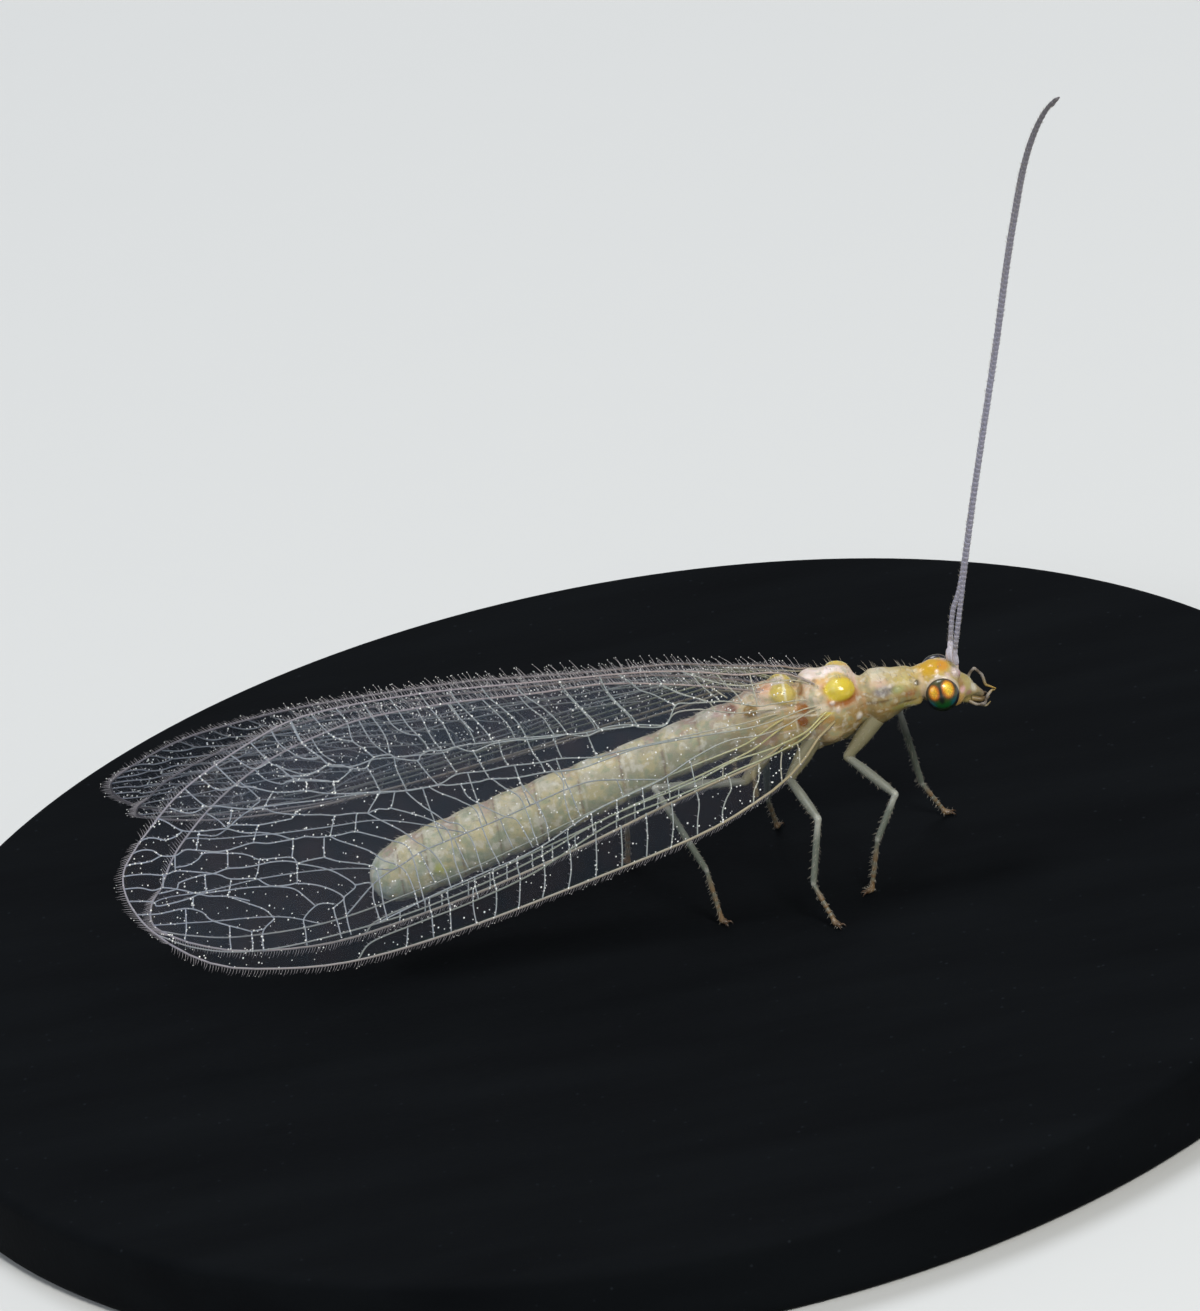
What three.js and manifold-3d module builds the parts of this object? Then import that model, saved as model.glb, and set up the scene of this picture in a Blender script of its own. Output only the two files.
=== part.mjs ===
// A green lacewing at rest, life-size, its four wings folded like a roof, standing on a flat base.
// Millimetres. +X runs towards the head, +Y to the animal's left, +Z up.
// The origin is the middle of the base's underside. The animal has its own frame inside that:
// x = 0 and y = 0 lie on the midline near the hind feet, and z = 0 is the plane of the soles.

import * as THREE from 'three';
import { mergeVertices } from 'three/addons/utils/BufferGeometryUtils.js';
import Module from 'manifold-3d';

const wasm = await Module();
wasm.setup();

const { clamp, degToRad, lerp, smoothstep } = THREE.MathUtils;

// Driving dimensions

const GAP = 0.15; // clear space between neighbouring pieces
const EYE_GAP = 0.12; // the same between an eye and its socket
const LEG_ROOM = 0.17; // clear space cut round the thorax where a leg comes in, a little more than the gap
const LIMB_RADIUS = 0.25; // legs and feelers are twice this thick, except at their tips

const BASE = { radius: 14, thickness: 1.5, chamfer: 0.2, middle: -1.5, sides: 48 };

const HEAD = { x: 4.78, z: 3.27, length: 0.84, width: 0.92, height: 0.9, back: 4.45, facePitch: 32 };
const EYE = { x: 4.76, y: 0.55, z: 3.24, radius: 0.33, flat: 0.43 };
const FEELER = { rootRadius: 0.27, tipRadius: 0.12, taperFrom: 0.72, spacing: 0.3, spread: 0.85, steps: 22, sides: 8 };

const PROTHORAX = { back: 3.42, front: HEAD.back - GAP, sides: 14 };
const MESOTHORAX = { back: 2.2, front: 3.27, sides: 16 };
const METATHORAX = { back: 0.86, front: 2.05, sides: 16 };

const ABDOMEN = {
  front: METATHORAX.back - GAP,
  length: 6.91,
  segments: 9,
  rootHeight: 3.08,
  slope: 0.25,
  rootRadius: 0.47,
  belly: 0.1,
  bellyFrom: 1.5,
  bellyAt: 5.2,
  tipLength: 0.85,
  flattening: 0.93,
  groove: 0.055,
  sides: 16,
};

const ROOF = {
  hingeX: 2.33,
  length: 12.97,
  hingeSpread: 1.12,
  spread: 1.7,
  tipSpread: 0.25,
  flare: 1.3,
  hingeHeight: 3.24,
  height: 3.42,
  tipDrop: 0.13,
  hingePitch: 72,
  pitch: 50.5,
  camber: 0.1,
  halfChord: 2.3,
};

const WING = { membrane: 0.42, ridge: 0.07, ridgeReach: 0.11, stack: 0.71, rootFrom: 0.5, rootTo: 1.5 };

// Small helpers for closed meshes

const point = (x, y, z) => new THREE.Vector3(x, y, z);

// Signed volume of an indexed mesh, positive when its faces point out.
function signedVolume(positions, index) {
  const a = new THREE.Vector3();
  const b = new THREE.Vector3();
  const c = new THREE.Vector3();
  let volume = 0;
  for (let i = 0; i < index.length; i += 3) {
    a.fromArray(positions, index[i] * 3);
    b.fromArray(positions, index[i + 1] * 3);
    c.fromArray(positions, index[i + 2] * 3);
    volume += a.dot(b.cross(c)) / 6;
  }
  return volume;
}

// A geometry from points and triangles, turned so that its faces point out.
function closedGeometry(points, triangles) {
  const positions = points.flatMap((p) => [p.x, p.y, p.z]);
  const index = triangles.flat();
  if (signedVolume(positions, index) < 0) {
    for (let i = 0; i < index.length; i += 3) {
      [index[i + 1], index[i + 2]] = [index[i + 2], index[i + 1]];
    }
  }
  const geometry = new THREE.BufferGeometry();
  geometry.setAttribute('position', new THREE.Float32BufferAttribute(positions, 3));
  geometry.setIndex(index);
  return geometry;
}

// A closed skin over rings of points, each end closed by a fan round the ring's middle.
function loft(rings) {
  const sides = rings[0].length;
  const points = rings.flat();
  const triangles = [];
  for (let r = 0; r + 1 < rings.length; r += 1) {
    for (let s = 0; s < sides; s += 1) {
      const here = r * sides + s;
      const beside = r * sides + ((s + 1) % sides);
      triangles.push([here, beside, beside + sides], [here, beside + sides, here + sides]);
    }
  }
  for (const end of [0, rings.length - 1]) {
    const middle = new THREE.Vector3();
    rings[end].forEach((p) => middle.addScaledVector(p, 1 / sides));
    const centre = points.push(middle) - 1;
    for (let s = 0; s < sides; s += 1) {
      const here = end * sides + s;
      const beside = end * sides + ((s + 1) % sides);
      triangles.push(end === 0 ? [centre, beside, here] : [centre, here, beside]);
    }
  }
  return closedGeometry(points, triangles);
}

function toSolid(geometry) {
  const bare = geometry.clone();
  bare.deleteAttribute('normal');
  bare.deleteAttribute('uv');
  const welded = mergeVertices(bare, 1e-5);
  const mesh = new wasm.Mesh({
    numProp: 3,
    vertProperties: new Float32Array(welded.attributes.position.array),
    triVerts: new Uint32Array(welded.index.array),
  });
  return new wasm.Manifold(mesh);
}

// The largest closed surface of a solid, as a geometry.
function toGeometry(solid) {
  const pieces = solid.decompose().sort((a, b) => b.volume() - a.volume());
  const mesh = pieces[0].getMesh();
  const geometry = new THREE.BufferGeometry();
  geometry.setAttribute('position', new THREE.BufferAttribute(new Float32Array(mesh.vertProperties), 3));
  geometry.setIndex(new THREE.BufferAttribute(new Uint32Array(mesh.triVerts), 1));
  return geometry;
}

const joined = (geometries) => geometries.map(toSolid).reduce((whole, piece) => whole.add(piece));

// An ellipsoid, pitched nose down by the given degrees.
function ellipsoid(centre, radii, pitch = 0, segments = 12) {
  const geometry = new THREE.SphereGeometry(1, segments, Math.round(segments * 0.6));
  geometry.rotateX(Math.PI / 2);
  geometry.scale(radii.x, radii.y, radii.z);
  geometry.rotateY(degToRad(pitch));
  geometry.translate(centre.x, centre.y, centre.z);
  return geometry;
}

// A ring of points square to a direction.
function ringAround(centre, direction, radius, sides, helper) {
  const along = direction.clone().normalize();
  const across = new THREE.Vector3().crossVectors(along, helper).normalize();
  const over = new THREE.Vector3().crossVectors(across, along);
  return Array.from({ length: sides }, (_, s) => {
    const angle = ((s + 0.5) / sides) * 2 * Math.PI;
    return centre
      .clone()
      .addScaledVector(across, radius * Math.cos(angle))
      .addScaledVector(over, radius * Math.sin(angle));
  });
}

// A straight, round-ended limb piece whose radius runs through the given values.
function limbPiece(from, to, radii, sides = 7) {
  const along = to.clone().sub(from);
  const length = along.length();
  along.normalize();
  const first = radii[0];
  const last = radii[radii.length - 1];
  const stations = [{ at: -0.7 * first, radius: 0.6 * first }];
  radii.forEach((radius, i) => stations.push({ at: (length * i) / (radii.length - 1), radius }));
  stations.push({ at: length + 0.7 * last, radius: 0.6 * last });
  const helper = Math.abs(along.z) < 0.9 ? point(0, 0, 1) : point(1, 0, 0);
  const rings = stations.map(({ at, radius }) => {
    const centre = from.clone().addScaledVector(along, at);
    return ringAround(centre, along, radius, sides, helper);
  });
  return loft(rings);
}

// Body sections: each is x, the heights of top and bottom, and half the width.
// `margin` grows the whole piece outward, for cutting a clear space round it.
function bodyLoft(sections, sides, margin = 0) {
  const ends = [sections[0], sections[sections.length - 1]];
  const rings = sections.map(({ x, top, bottom, half }) => {
    const shift = x === ends[0].x ? -margin : x === ends[1].x ? margin : 0;
    const direction = Math.sign(ends[1].x - ends[0].x);
    const middle = (top + bottom) / 2;
    const rise = (top - bottom) / 2 + margin;
    return Array.from({ length: sides }, (_, s) => {
      const angle = (s / sides) * 2 * Math.PI;
      return point(x + shift * direction, (half + margin) * Math.cos(angle), middle + rise * Math.sin(angle));
    });
  });
  return loft(rings);
}

// Thorax: three rings of the body, with the lobes that carry the wings

const prothoraxSections = [
  { x: PROTHORAX.back, top: 3.64, bottom: 2.68, half: 0.43 },
  { x: 3.52, top: 3.7, bottom: 2.62, half: 0.5 },
  { x: 3.68, top: 3.7, bottom: 2.66, half: 0.51 },
  { x: 3.86, top: 3.64, bottom: 2.76, half: 0.45 },
  { x: 4.06, top: 3.63, bottom: 2.85, half: 0.42 },
  { x: 4.22, top: 3.61, bottom: 2.88, half: 0.41 },
  { x: PROTHORAX.front, top: 3.56, bottom: 2.93, half: 0.36 },
];

const mesothoraxSections = [
  { x: MESOTHORAX.back, top: 3.86, bottom: 2.5, half: 0.55 },
  { x: 2.3, top: 3.92, bottom: 2.43, half: 0.6 },
  { x: 2.52, top: 3.93, bottom: 2.42, half: 0.65 },
  { x: 2.78, top: 3.93, bottom: 2.46, half: 0.67 },
  { x: 3.0, top: 3.88, bottom: 2.56, half: 0.64 },
  { x: 3.17, top: 3.78, bottom: 2.68, half: 0.55 },
  { x: MESOTHORAX.front, top: 3.64, bottom: 2.78, half: 0.44 },
];

const metathoraxSections = [
  { x: METATHORAX.back, top: 3.58, bottom: 2.6, half: 0.4 },
  { x: 0.96, top: 3.66, bottom: 2.52, half: 0.44 },
  { x: 1.2, top: 3.78, bottom: 2.46, half: 0.44 },
  { x: 1.5, top: 3.86, bottom: 2.44, half: 0.4 },
  { x: 1.78, top: 3.9, bottom: 2.44, half: 0.48 },
  { x: 1.95, top: 3.88, bottom: 2.47, half: 0.49 },
  { x: METATHORAX.front, top: 3.8, bottom: 2.54, half: 0.44 },
];

function mesothorax() {
  const lobes = [-1, 1].map((side) => ellipsoid(point(2.92, side * 0.34, 3.6), point(0.3, 0.32, 0.28), 12));
  const scutellum = ellipsoid(point(2.42, 0, 3.86), point(0.2, 0.3, 0.14), 0);
  const collar = ellipsoid(point(2.8, 0, 3.84), point(0.34, 0.26, 0.18), 8);
  return joined([bodyLoft(mesothoraxSections, MESOTHORAX.sides), ...lobes, scutellum, collar]);
}

function metathorax() {
  const lobes = [-1, 1].map((side) => ellipsoid(point(1.8, side * 0.2, 3.72), point(0.22, 0.24, 0.22), 0));
  const scutellum = ellipsoid(point(1.36, 0, 3.82), point(0.2, 0.2, 0.12), 0);
  return joined([bodyLoft(metathoraxSections, METATHORAX.sides), ...lobes, scutellum]);
}

// Head: a capsule with a sloping face, mouthparts and flat-bottomed eye sockets

// Palps, as x, distance from the midline, z. The left one arches up over the face, as it is held here.
const PALPS = {
  left: [[5.16, 0.2, 2.86], [5.36, 0.28, 3.14], [5.58, 0.28, 3.08], [5.76, 0.22, 2.76]],
  right: [[5.16, 0.2, 2.84], [5.5, 0.27, 2.7], [5.62, 0.22, 2.84], [5.72, 0.18, 2.98]],
  lip: [[5.24, 0.08, 2.72], [5.46, 0.1, 2.6], [5.58, 0.09, 2.66]],
  radii: [0.09, 0.085, 0.075, 0.05],
};

function palp(side, stations, radii) {
  const corners = stations.map(([x, y, z]) => point(x, side * y, z));
  return corners.slice(1).map((corner, i) => limbPiece(corners[i], corner, [radii[i], radii[i + 1]], 5));
}

// The rounded masses that make up the head, each grown outward by `margin`.
function headMasses(margin = 0) {
  const mass = (x, y, z, [length, width, height], pitch, segments) => {
    const radii = point(length + margin, width + margin, height + margin);
    return ellipsoid(point(x, y, z), radii, pitch, segments);
  };
  const { facePitch } = HEAD;
  const cheeks = [-1, 1].map((side) => mass(4.98, side * 0.25, 2.98, [0.22, 0.14, 0.2], 20, 8));
  const jaws = [-1, 1].map((side) => mass(5.4, side * 0.1, 2.76, [0.14, 0.09, 0.07], 20, 8));
  return [
    mass(HEAD.x, 0, HEAD.z, [HEAD.length / 2, HEAD.width / 2, HEAD.height / 2], 0, 14),
    mass(4.62, 0, 3.25, [0.3, 0.4, 0.4], 0, 12),
    mass(4.75, 0, 3.5, [0.28, 0.3, 0.23], 0, 10),
    mass(5.08, 0, 3.12, [0.42, 0.32, 0.3], facePitch, 12),
    mass(5.34, 0, 2.98, [0.24, 0.2, 0.15], facePitch + 8, 10),
    mass(5.5, 0, 2.84, [0.12, 0.15, 0.08], facePitch + 18, 8),
    mass(5.2, 0, 2.79, [0.26, 0.17, 0.11], 12, 8),
    ...cheeks,
    ...jaws,
  ];
}

function headSolid() {
  const palps = [
    ...palp(1, PALPS.left, PALPS.radii),
    ...palp(-1, PALPS.right, PALPS.radii),
    ...palp(1, PALPS.lip, PALPS.radii),
    ...palp(-1, PALPS.lip, PALPS.radii),
  ];
  const neck = new THREE.BoxGeometry(1, 2, 2);
  neck.translate(HEAD.back - 0.5, 0, HEAD.z);
  const depth = 0.6;
  const sockets = [-1, 1].map((side) => {
    const socket = new THREE.CylinderGeometry(EYE.radius + EYE_GAP, EYE.radius + EYE_GAP, depth, 16);
    socket.translate(EYE.x, side * (EYE.flat - EYE_GAP + depth / 2), EYE.z);
    return socket;
  });
  const whole = joined([...headMasses(), ...palps]);
  return [neck, ...sockets].map(toSolid).reduce((rest, cut) => rest.subtract(cut), whole).simplify(0.02);
}

function eyeSolid(side) {
  const ball = ellipsoid(point(EYE.x, side * EYE.y, EYE.z), point(EYE.radius, EYE.radius, EYE.radius), 0, 16);
  return toSolid(ball).trimByPlane([0, side, 0], EYE.flat);
}

// Antennae: they rise together from the forehead and only part a little towards the tips

const feelerLine = {
  right: [[5.12, 3.46], [5.22, 4.15], [5.53, 5.37], [5.98, 7.0], [6.46, 8.63], [6.94, 10.25], [7.34, 11.67], [7.95, 13.59],
    [8.24, 14.24], [8.76, 14.86]],
  left: [[5.12, 3.4], [5.22, 3.81], [5.53, 4.95], [5.98, 6.47], [6.46, 7.98], [6.94, 9.48], [7.34, 10.81], [7.95, 12.59],
    [8.24, 13.19], [8.76, 13.76]],
};

function feelerCurve(side) {
  const line = side > 0 ? feelerLine.left : feelerLine.right;
  const foot = line[0][1];
  const reach = line[line.length - 1][1] - foot;
  return new THREE.CatmullRomCurve3(
    line.map(([x, z]) => point(x, side * (FEELER.spacing + (FEELER.spread * (z - foot)) / reach), z)),
    false,
    'centripetal',
  );
}

function feelerSolid(side) {
  const curve = feelerCurve(side);
  const rings = Array.from({ length: FEELER.steps + 1 }, (_, i) => {
    const along = i / FEELER.steps;
    const shaft = lerp(LIMB_RADIUS, FEELER.tipRadius, smoothstep(along, FEELER.taperFrom, 1));
    const radius = i <= 2 ? FEELER.rootRadius : shaft;
    return ringAround(curve.getPointAt(along), curve.getTangentAt(along), radius, FEELER.sides, point(0, 1, 0));
  });
  const eyeRadii = new THREE.Vector3().setScalar(EYE.radius + GAP);
  const eyeRoom = ellipsoid(point(EYE.x, side * EYE.y, EYE.z), eyeRadii, 0, 16);
  return toSolid(loft(rings)).subtract(joined([...headMasses(GAP), eyeRoom]));
}

// Abdomen: nine rings, drooping a little towards the tip

function abdomenSection(distance) {
  const { front, length, rootHeight, slope, rootRadius, belly, tipLength, flattening, sides } = ABDOMEN;
  const segment = length / ABDOMEN.segments;
  const swell = rootRadius + belly * smoothstep(distance, ABDOMEN.bellyFrom, ABDOMEN.bellyAt);
  const tip = Math.max(0, (distance - (length - tipLength)) / tipLength);
  const rounding = Math.sqrt(Math.max(0.02, 1 - 0.98 * tip * tip));
  const phase = (distance / segment) % 1;
  const dip = Math.max(0, 1 - Math.min(phase, 1 - phase) * 5);
  const radius = swell * rounding * (1 - ABDOMEN.groove * dip);
  const height = rootHeight - slope * distance;
  const shear = slope * smoothstep(distance, 0, 0.7);
  return Array.from({ length: sides }, (_, s) => {
    const angle = (s / sides) * 2 * Math.PI;
    const rise = radius * Math.sin(angle);
    return point(front - distance - shear * rise, flattening * radius * Math.cos(angle), height + rise);
  });
}

function abdomenPiece(firstSegment, lastSegment) {
  const segment = ABDOMEN.length / ABDOMEN.segments;
  const from = (firstSegment - 1) * segment + (firstSegment === 1 ? 0 : GAP / 2);
  const to = lastSegment * segment - (lastSegment === ABDOMEN.segments ? 0 : GAP / 2);
  const stations = [from];
  for (let n = firstSegment; n <= lastSegment; n += 1) {
    const start = (n - 1) * segment;
    for (const share of [0, 0.2, 0.5, 0.8]) {
      const at = start + share * segment;
      if (at > from + 0.02 && at < to - 0.02) stations.push(at);
    }
  }
  if (lastSegment === ABDOMEN.segments) stations.push(to - 0.22, to - 0.1, to - 0.03);
  stations.push(to);
  stations.sort((a, b) => a - b);
  return loft(stations.map((at) => abdomenSection(at)));
}

// Legs: coxa, thigh, shin and foot, each from joint to joint. Joints are x, distance from the midline, z.

const LEGS = {
  fore_right: [[3.56, 0.34, 2.72], [2.86, 0.5, 2.06], [3.57, 1.05, 1.6], [3.09, 1.3, 0.88], [2.82, 1.33, 0.1]],
  fore_left: [[3.56, 0.34, 2.72], [2.9, 0.5, 2.02], [3.96, 1.0, 2.26], [4.13, 1.2, 0.52], [4.45, 1.19, 0.1]],
  mid_right: [[2.24, 0.36, 2.45], [1.74, 0.62, 2.0], [2.08, 1.75, 1.72], [1.77, 2.12, 0.62], [2.02, 2.37, 0.1]],
  mid_left: [[2.24, 0.36, 2.45], [1.72, 0.62, 2.0], [1.4, 1.5, 1.75], [1.27, 1.78, 0.6], [1.35, 1.96, 0.1]],
  hind_right: [[1.24, 0.34, 2.45], [0.9, 0.5, 1.96], [-0.7, 0.88, 2.3], [-0.11, 1.3, 0.95], [0.0, 1.4, 0.1]],
  hind_left: [[1.24, 0.34, 2.45], [0.9, 0.5, 1.96], [-0.74, 0.88, 2.3], [-1.28, 1.45, 0.9], [-1.5, 1.68, 0.1]],
};
const SHAPES = {
  coxa: [0.27, 0.27, 0.25],
  thigh: [0.25, 0.27, 0.25],
  shin: [0.25, 0.25, 0.25],
  foot: [0.25, 0.24, 0.25],
};

function legSolid(name, body) {
  const side = name.endsWith('left') ? 1 : -1;
  const joints = LEGS[name].map(([x, y, z]) => point(x, side * y, z));
  const radii = Object.values(SHAPES);
  const pieces = radii.map((list, i) => limbPiece(joints[i], joints[i + 1], list));
  return joined(pieces).trimByPlane([0, 0, 1], 0).subtract(body);
}

// Wings: folded as a roof. At x the wing's middle surface passes at `spread` from the midline and at `height`,
// and leans in by `pitch`, bulging out by `camber`. `t` runs up the slope and `inward` is the depth under it.

function roofSurface(x, t) {
  const back = smoothstep(ROOF.hingeX - x, 0, ROOF.flare);
  const share = clamp((ROOF.hingeX - x) / ROOF.length, 0, 1);
  const spread = lerp(ROOF.hingeSpread, ROOF.spread, back) + ROOF.tipSpread * share * share;
  const height = lerp(ROOF.hingeHeight, ROOF.height, back) - ROOF.tipDrop * share * share;
  const pitch = degToRad(lerp(ROOF.hingePitch, ROOF.pitch, back));
  const bulge = ROOF.camber * back * (1 - (t / ROOF.halfChord) ** 2);
  const y = spread - t * Math.cos(pitch) + bulge * Math.sin(pitch);
  const z = height + t * Math.sin(pitch) + bulge * Math.cos(pitch);
  return point(x, y, z);
}

function roofPoint(x, t, inward, side) {
  const step = 0.01;
  const alongSpan = roofSurface(x + step, t).sub(roofSurface(x - step, t));
  const alongChord = roofSurface(x, t + step).sub(roofSurface(x, t - step));
  const under = alongSpan.cross(alongChord).normalize();
  const at = roofSurface(x, t).addScaledVector(under, inward);
  return point(at.x, side * at.y, at.z);
}

const curveThrough = (pairs) => new THREE.SplineCurve(pairs.map(([x, t]) => new THREE.Vector2(x, t)));

// Planforms: the front (lower) edge, the rear (upper) edge and the tip between them, as x and t.
const FOREWING = {
  front: [[2.55, -0.25], [1.94, -0.53], [1.1, -0.97], [-0.11, -1.4], [-2.25, -1.82], [-4.77, -2.22], [-6.88, -2.36],
    [-8.6, -2.1], [-9.43, -1.78], [-10.02, -1.31]],
  rear: [[2.55, 0.3], [1.9, 0.98], [1.17, 1.36], [-0.26, 1.74], [-2.46, 2.02], [-4.68, 2.26], [-6.2, 2.34], [-7.84, 2.07],
    [-9.26, 1.44], [-10.22, 0.68]],
  tip: [[-10.02, -1.31], [-10.4, -0.85], [-10.62, -0.3], [-10.56, 0.24], [-10.22, 0.68]],
  inward: 0,
  rootDrop: 0,
  longVeins: [
    () => 0,
    (s) => lerp(0.34, 0.1, smoothstep(s, 0, 0.75)),
    (s) => lerp(0.46, 0.3, smoothstep(s, 0, 0.7)),
    (s) => lerp(0.6, 0.5, smoothstep(s, 0, 0.6)),
    (s) => lerp(0.76, 0.72, smoothstep(s, 0, 0.6)),
    () => 1,
  ],
  crossVeins: [
    { count: 17, from: 0.1, to: 0.93, lean: 0.006 },
    { count: 11, from: 0.13, to: 0.9, lean: 0.02 },
    { count: 9, from: 0.16, to: 0.88, lean: -0.02 },
    { count: 8, from: 0.12, to: 0.9, lean: 0.015 },
    { count: 13, from: 0.08, to: 0.94, lean: 0.02 },
  ],
};
const HINDWING = {
  front: [[1.5, -0.1], [0.3, -0.2], [-0.9, -0.3], [-2.0, -0.7], [-3.5, -1.2], [-5.0, -1.52], [-7.0, -1.72], [-8.6, -1.56],
    [-9.5, -1.15], [-9.95, -0.85]],
  rear: [[1.5, 0.25], [0.9, 0.72], [0.3, 1.02], [-1.0, 1.32], [-2.6, 1.4], [-4.6, 1.42], [-6.4, 1.42], [-7.7, 1.34],
    [-8.8, 0.98], [-9.56, 0.42], [-9.95, -0.07]],
  tip: [[-9.95, -0.85], [-10.14, -0.68], [-10.19, -0.48], [-10.12, -0.26], [-9.95, -0.07]],
  inward: WING.stack,
  rootDrop: 0.12,
  longVeins: [
    () => 0,
    (s) => lerp(0.3, 0.12, smoothstep(s, 0, 0.7)),
    (s) => lerp(0.5, 0.36, smoothstep(s, 0, 0.7)),
    (s) => lerp(0.72, 0.66, smoothstep(s, 0, 0.6)),
    () => 1,
  ],
  crossVeins: [
    { count: 12, from: 0.2, to: 0.92, lean: 0.006 },
    { count: 9, from: 0.16, to: 0.9, lean: 0.02 },
    { count: 8, from: 0.18, to: 0.88, lean: -0.02 },
    { count: 11, from: 0.12, to: 0.93, lean: 0.02 },
  ],
};

// `inward` is a wing's depth under the roof, and `rootDrop` is what it sinks further at its root.
// The planform as a map from s, the share of the span, and v, the share of the chord.
function planformMap({ front, rear, tip }) {
  const edges = { front: curveThrough(front), rear: curveThrough(rear), tip: curveThrough(tip) };
  const root = [new THREE.Vector2(...front[0]), new THREE.Vector2(...rear[0])];
  const end = [new THREE.Vector2(...tip[0]), new THREE.Vector2(...tip[tip.length - 1])];
  return (s, v) => {
    const place = new THREE.Vector2();
    place.addScaledVector(edges.front.getPointAt(s), 1 - v);
    place.addScaledVector(edges.rear.getPointAt(s), v);
    place.addScaledVector(root[0].clone().lerp(root[1], v), 1 - s);
    place.addScaledVector(edges.tip.getPointAt(v), s);
    place.addScaledVector(root[0], -(1 - s) * (1 - v));
    place.addScaledVector(root[1], -(1 - s) * v);
    place.addScaledVector(end[0], -s * (1 - v));
    place.addScaledVector(end[1], -s * v);
    return place;
  };
}

// The cross-veins of one strip: where each leaves its lower long vein and meets its upper one.
function stripCrossings({ count, from, to, lean }, row) {
  const stagger = (row % 2) * 0.5;
  const lower = [0];
  const upper = [0];
  for (let k = 0; k < count; k += 1) {
    const s = lerp(from, to, (k + stagger) / (count - 0.5));
    lower.push(s);
    upper.push(s + lean);
  }
  return { lower: [...lower, 1], upper: [...upper, 1] };
}

// A cell's corners drawn in from its veins, square to each side by the same reach.
function insetCorners(corners, reach) {
  const count = corners.length;
  let area = 0;
  let edge = 0;
  corners.forEach((p, i) => {
    const q = corners[(i + 1) % count];
    area += (p.x * q.y - q.x * p.y) / 2;
    edge += p.distanceTo(q);
  });
  const turn = Math.sign(area);
  const depth = Math.min(reach, (0.5 * Math.abs(area)) / edge);
  return corners.map((p, i) => {
    const before = p.clone().sub(corners[(i + count - 1) % count]).normalize();
    const after = corners[(i + 1) % count].clone().sub(p).normalize();
    const inward = new THREE.Vector2(-(before.y + after.y), before.x + after.x).multiplyScalar(turn);
    inward.normalize();
    const square = Math.max(0.5, inward.dot(new THREE.Vector2(-before.y, before.x).multiplyScalar(turn)));
    return p.clone().addScaledVector(inward, depth / square);
  });
}

// A wing as one closed body: a membrane whose veins stand up as ridges in its own two faces.
function wingGeometry(wing, side) {
  const place = planformMap(wing);
  const strips = wing.crossVeins.map(stripCrossings);
  const rows = wing.longVeins.length;
  const nodes = wing.longVeins.map((_, j) => {
    const stations = new Set([0, 1]);
    if (j > 0) strips[j - 1].upper.forEach((s) => stations.add(s));
    if (j < rows - 1) strips[j].lower.forEach((s) => stations.add(s));
    const sorted = [...stations].sort((a, b) => a - b);
    if (j > 0 && j < rows - 1) return sorted;
    const between = sorted.slice(1).map((s, i) => (s + sorted[i]) / 2);
    return [...sorted, ...between].sort((a, b) => a - b);
  });

  const flat = [];
  const lift = [];
  const addVertex = (at, height) => {
    flat.push(at);
    lift.push(height);
    return flat.length - 1;
  };
  const crest = WING.membrane / 2 + WING.ridge;
  const crestIndex = nodes.map((line, j) => line.map((s) => addVertex(place(s, wing.longVeins[j](s)), crest)));

  const face = [];
  strips.forEach((strip, j) => {
    for (let k = 0; k + 1 < strip.lower.length; k += 1) {
      const within = (line, from, to) => nodes[line].flatMap((s, i) => (s >= from && s <= to ? [crestIndex[line][i]] : []));
      const low = within(j, strip.lower[k], strip.lower[k + 1]);
      const high = within(j + 1, strip.upper[k], strip.upper[k + 1]);
      const ring = [...low, ...high.slice().reverse()];
      const inner = insetCorners(ring.map((i) => flat[i]), WING.ridgeReach).map((at) => addVertex(at, WING.membrane / 2));
      ring.forEach((here, i) => {
        const next = (i + 1) % ring.length;
        face.push([here, ring[next], inner[next]], [here, inner[next], inner[i]]);
      });
      const innerLow = inner.slice(0, low.length);
      const innerHigh = inner.slice(low.length).reverse();
      let a = 0;
      let b = 0;
      while (a + 1 < innerLow.length || b + 1 < innerHigh.length) {
        const shareA = a / Math.max(1, innerLow.length - 1);
        const shareB = b / Math.max(1, innerHigh.length - 1);
        if (b + 1 >= innerHigh.length || (a + 1 < innerLow.length && shareA <= shareB)) {
          face.push([innerLow[a], innerLow[a + 1], innerHigh[b]]);
          a += 1;
        } else {
          face.push([innerLow[a], innerHigh[b + 1], innerHigh[b]]);
          b += 1;
        }
      }
    }
  });

  const count = flat.length;
  const depth = ({ x }) => wing.inward + wing.rootDrop * smoothstep(x, WING.rootFrom, WING.rootTo);
  const faceOf = (sign) => flat.map((at, i) => roofPoint(at.x, at.y, depth(at) + sign * lift[i], side));
  const points = [...faceOf(1), ...faceOf(-1)];
  const triangles = face.flatMap(([a, b, c]) => [[a, b, c], [a + count, c + count, b + count]]);
  const firstOf = crestIndex.map((line) => line[0]);
  const lastOf = crestIndex.map((line) => line[line.length - 1]);
  const topEdge = crestIndex[rows - 1].slice(0, -1).reverse();
  const rim = [...crestIndex[0], ...lastOf.slice(1), ...topEdge, ...firstOf.slice(1, -1).reverse()];
  rim.forEach((here, i) => {
    const next = rim[(i + 1) % rim.length];
    triangles.push([here, next + count, next], [here, here + count, next + count]);
  });
  return closedGeometry(points, triangles);
}

// The base: a flat round plate with a chamfered rim

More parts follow.
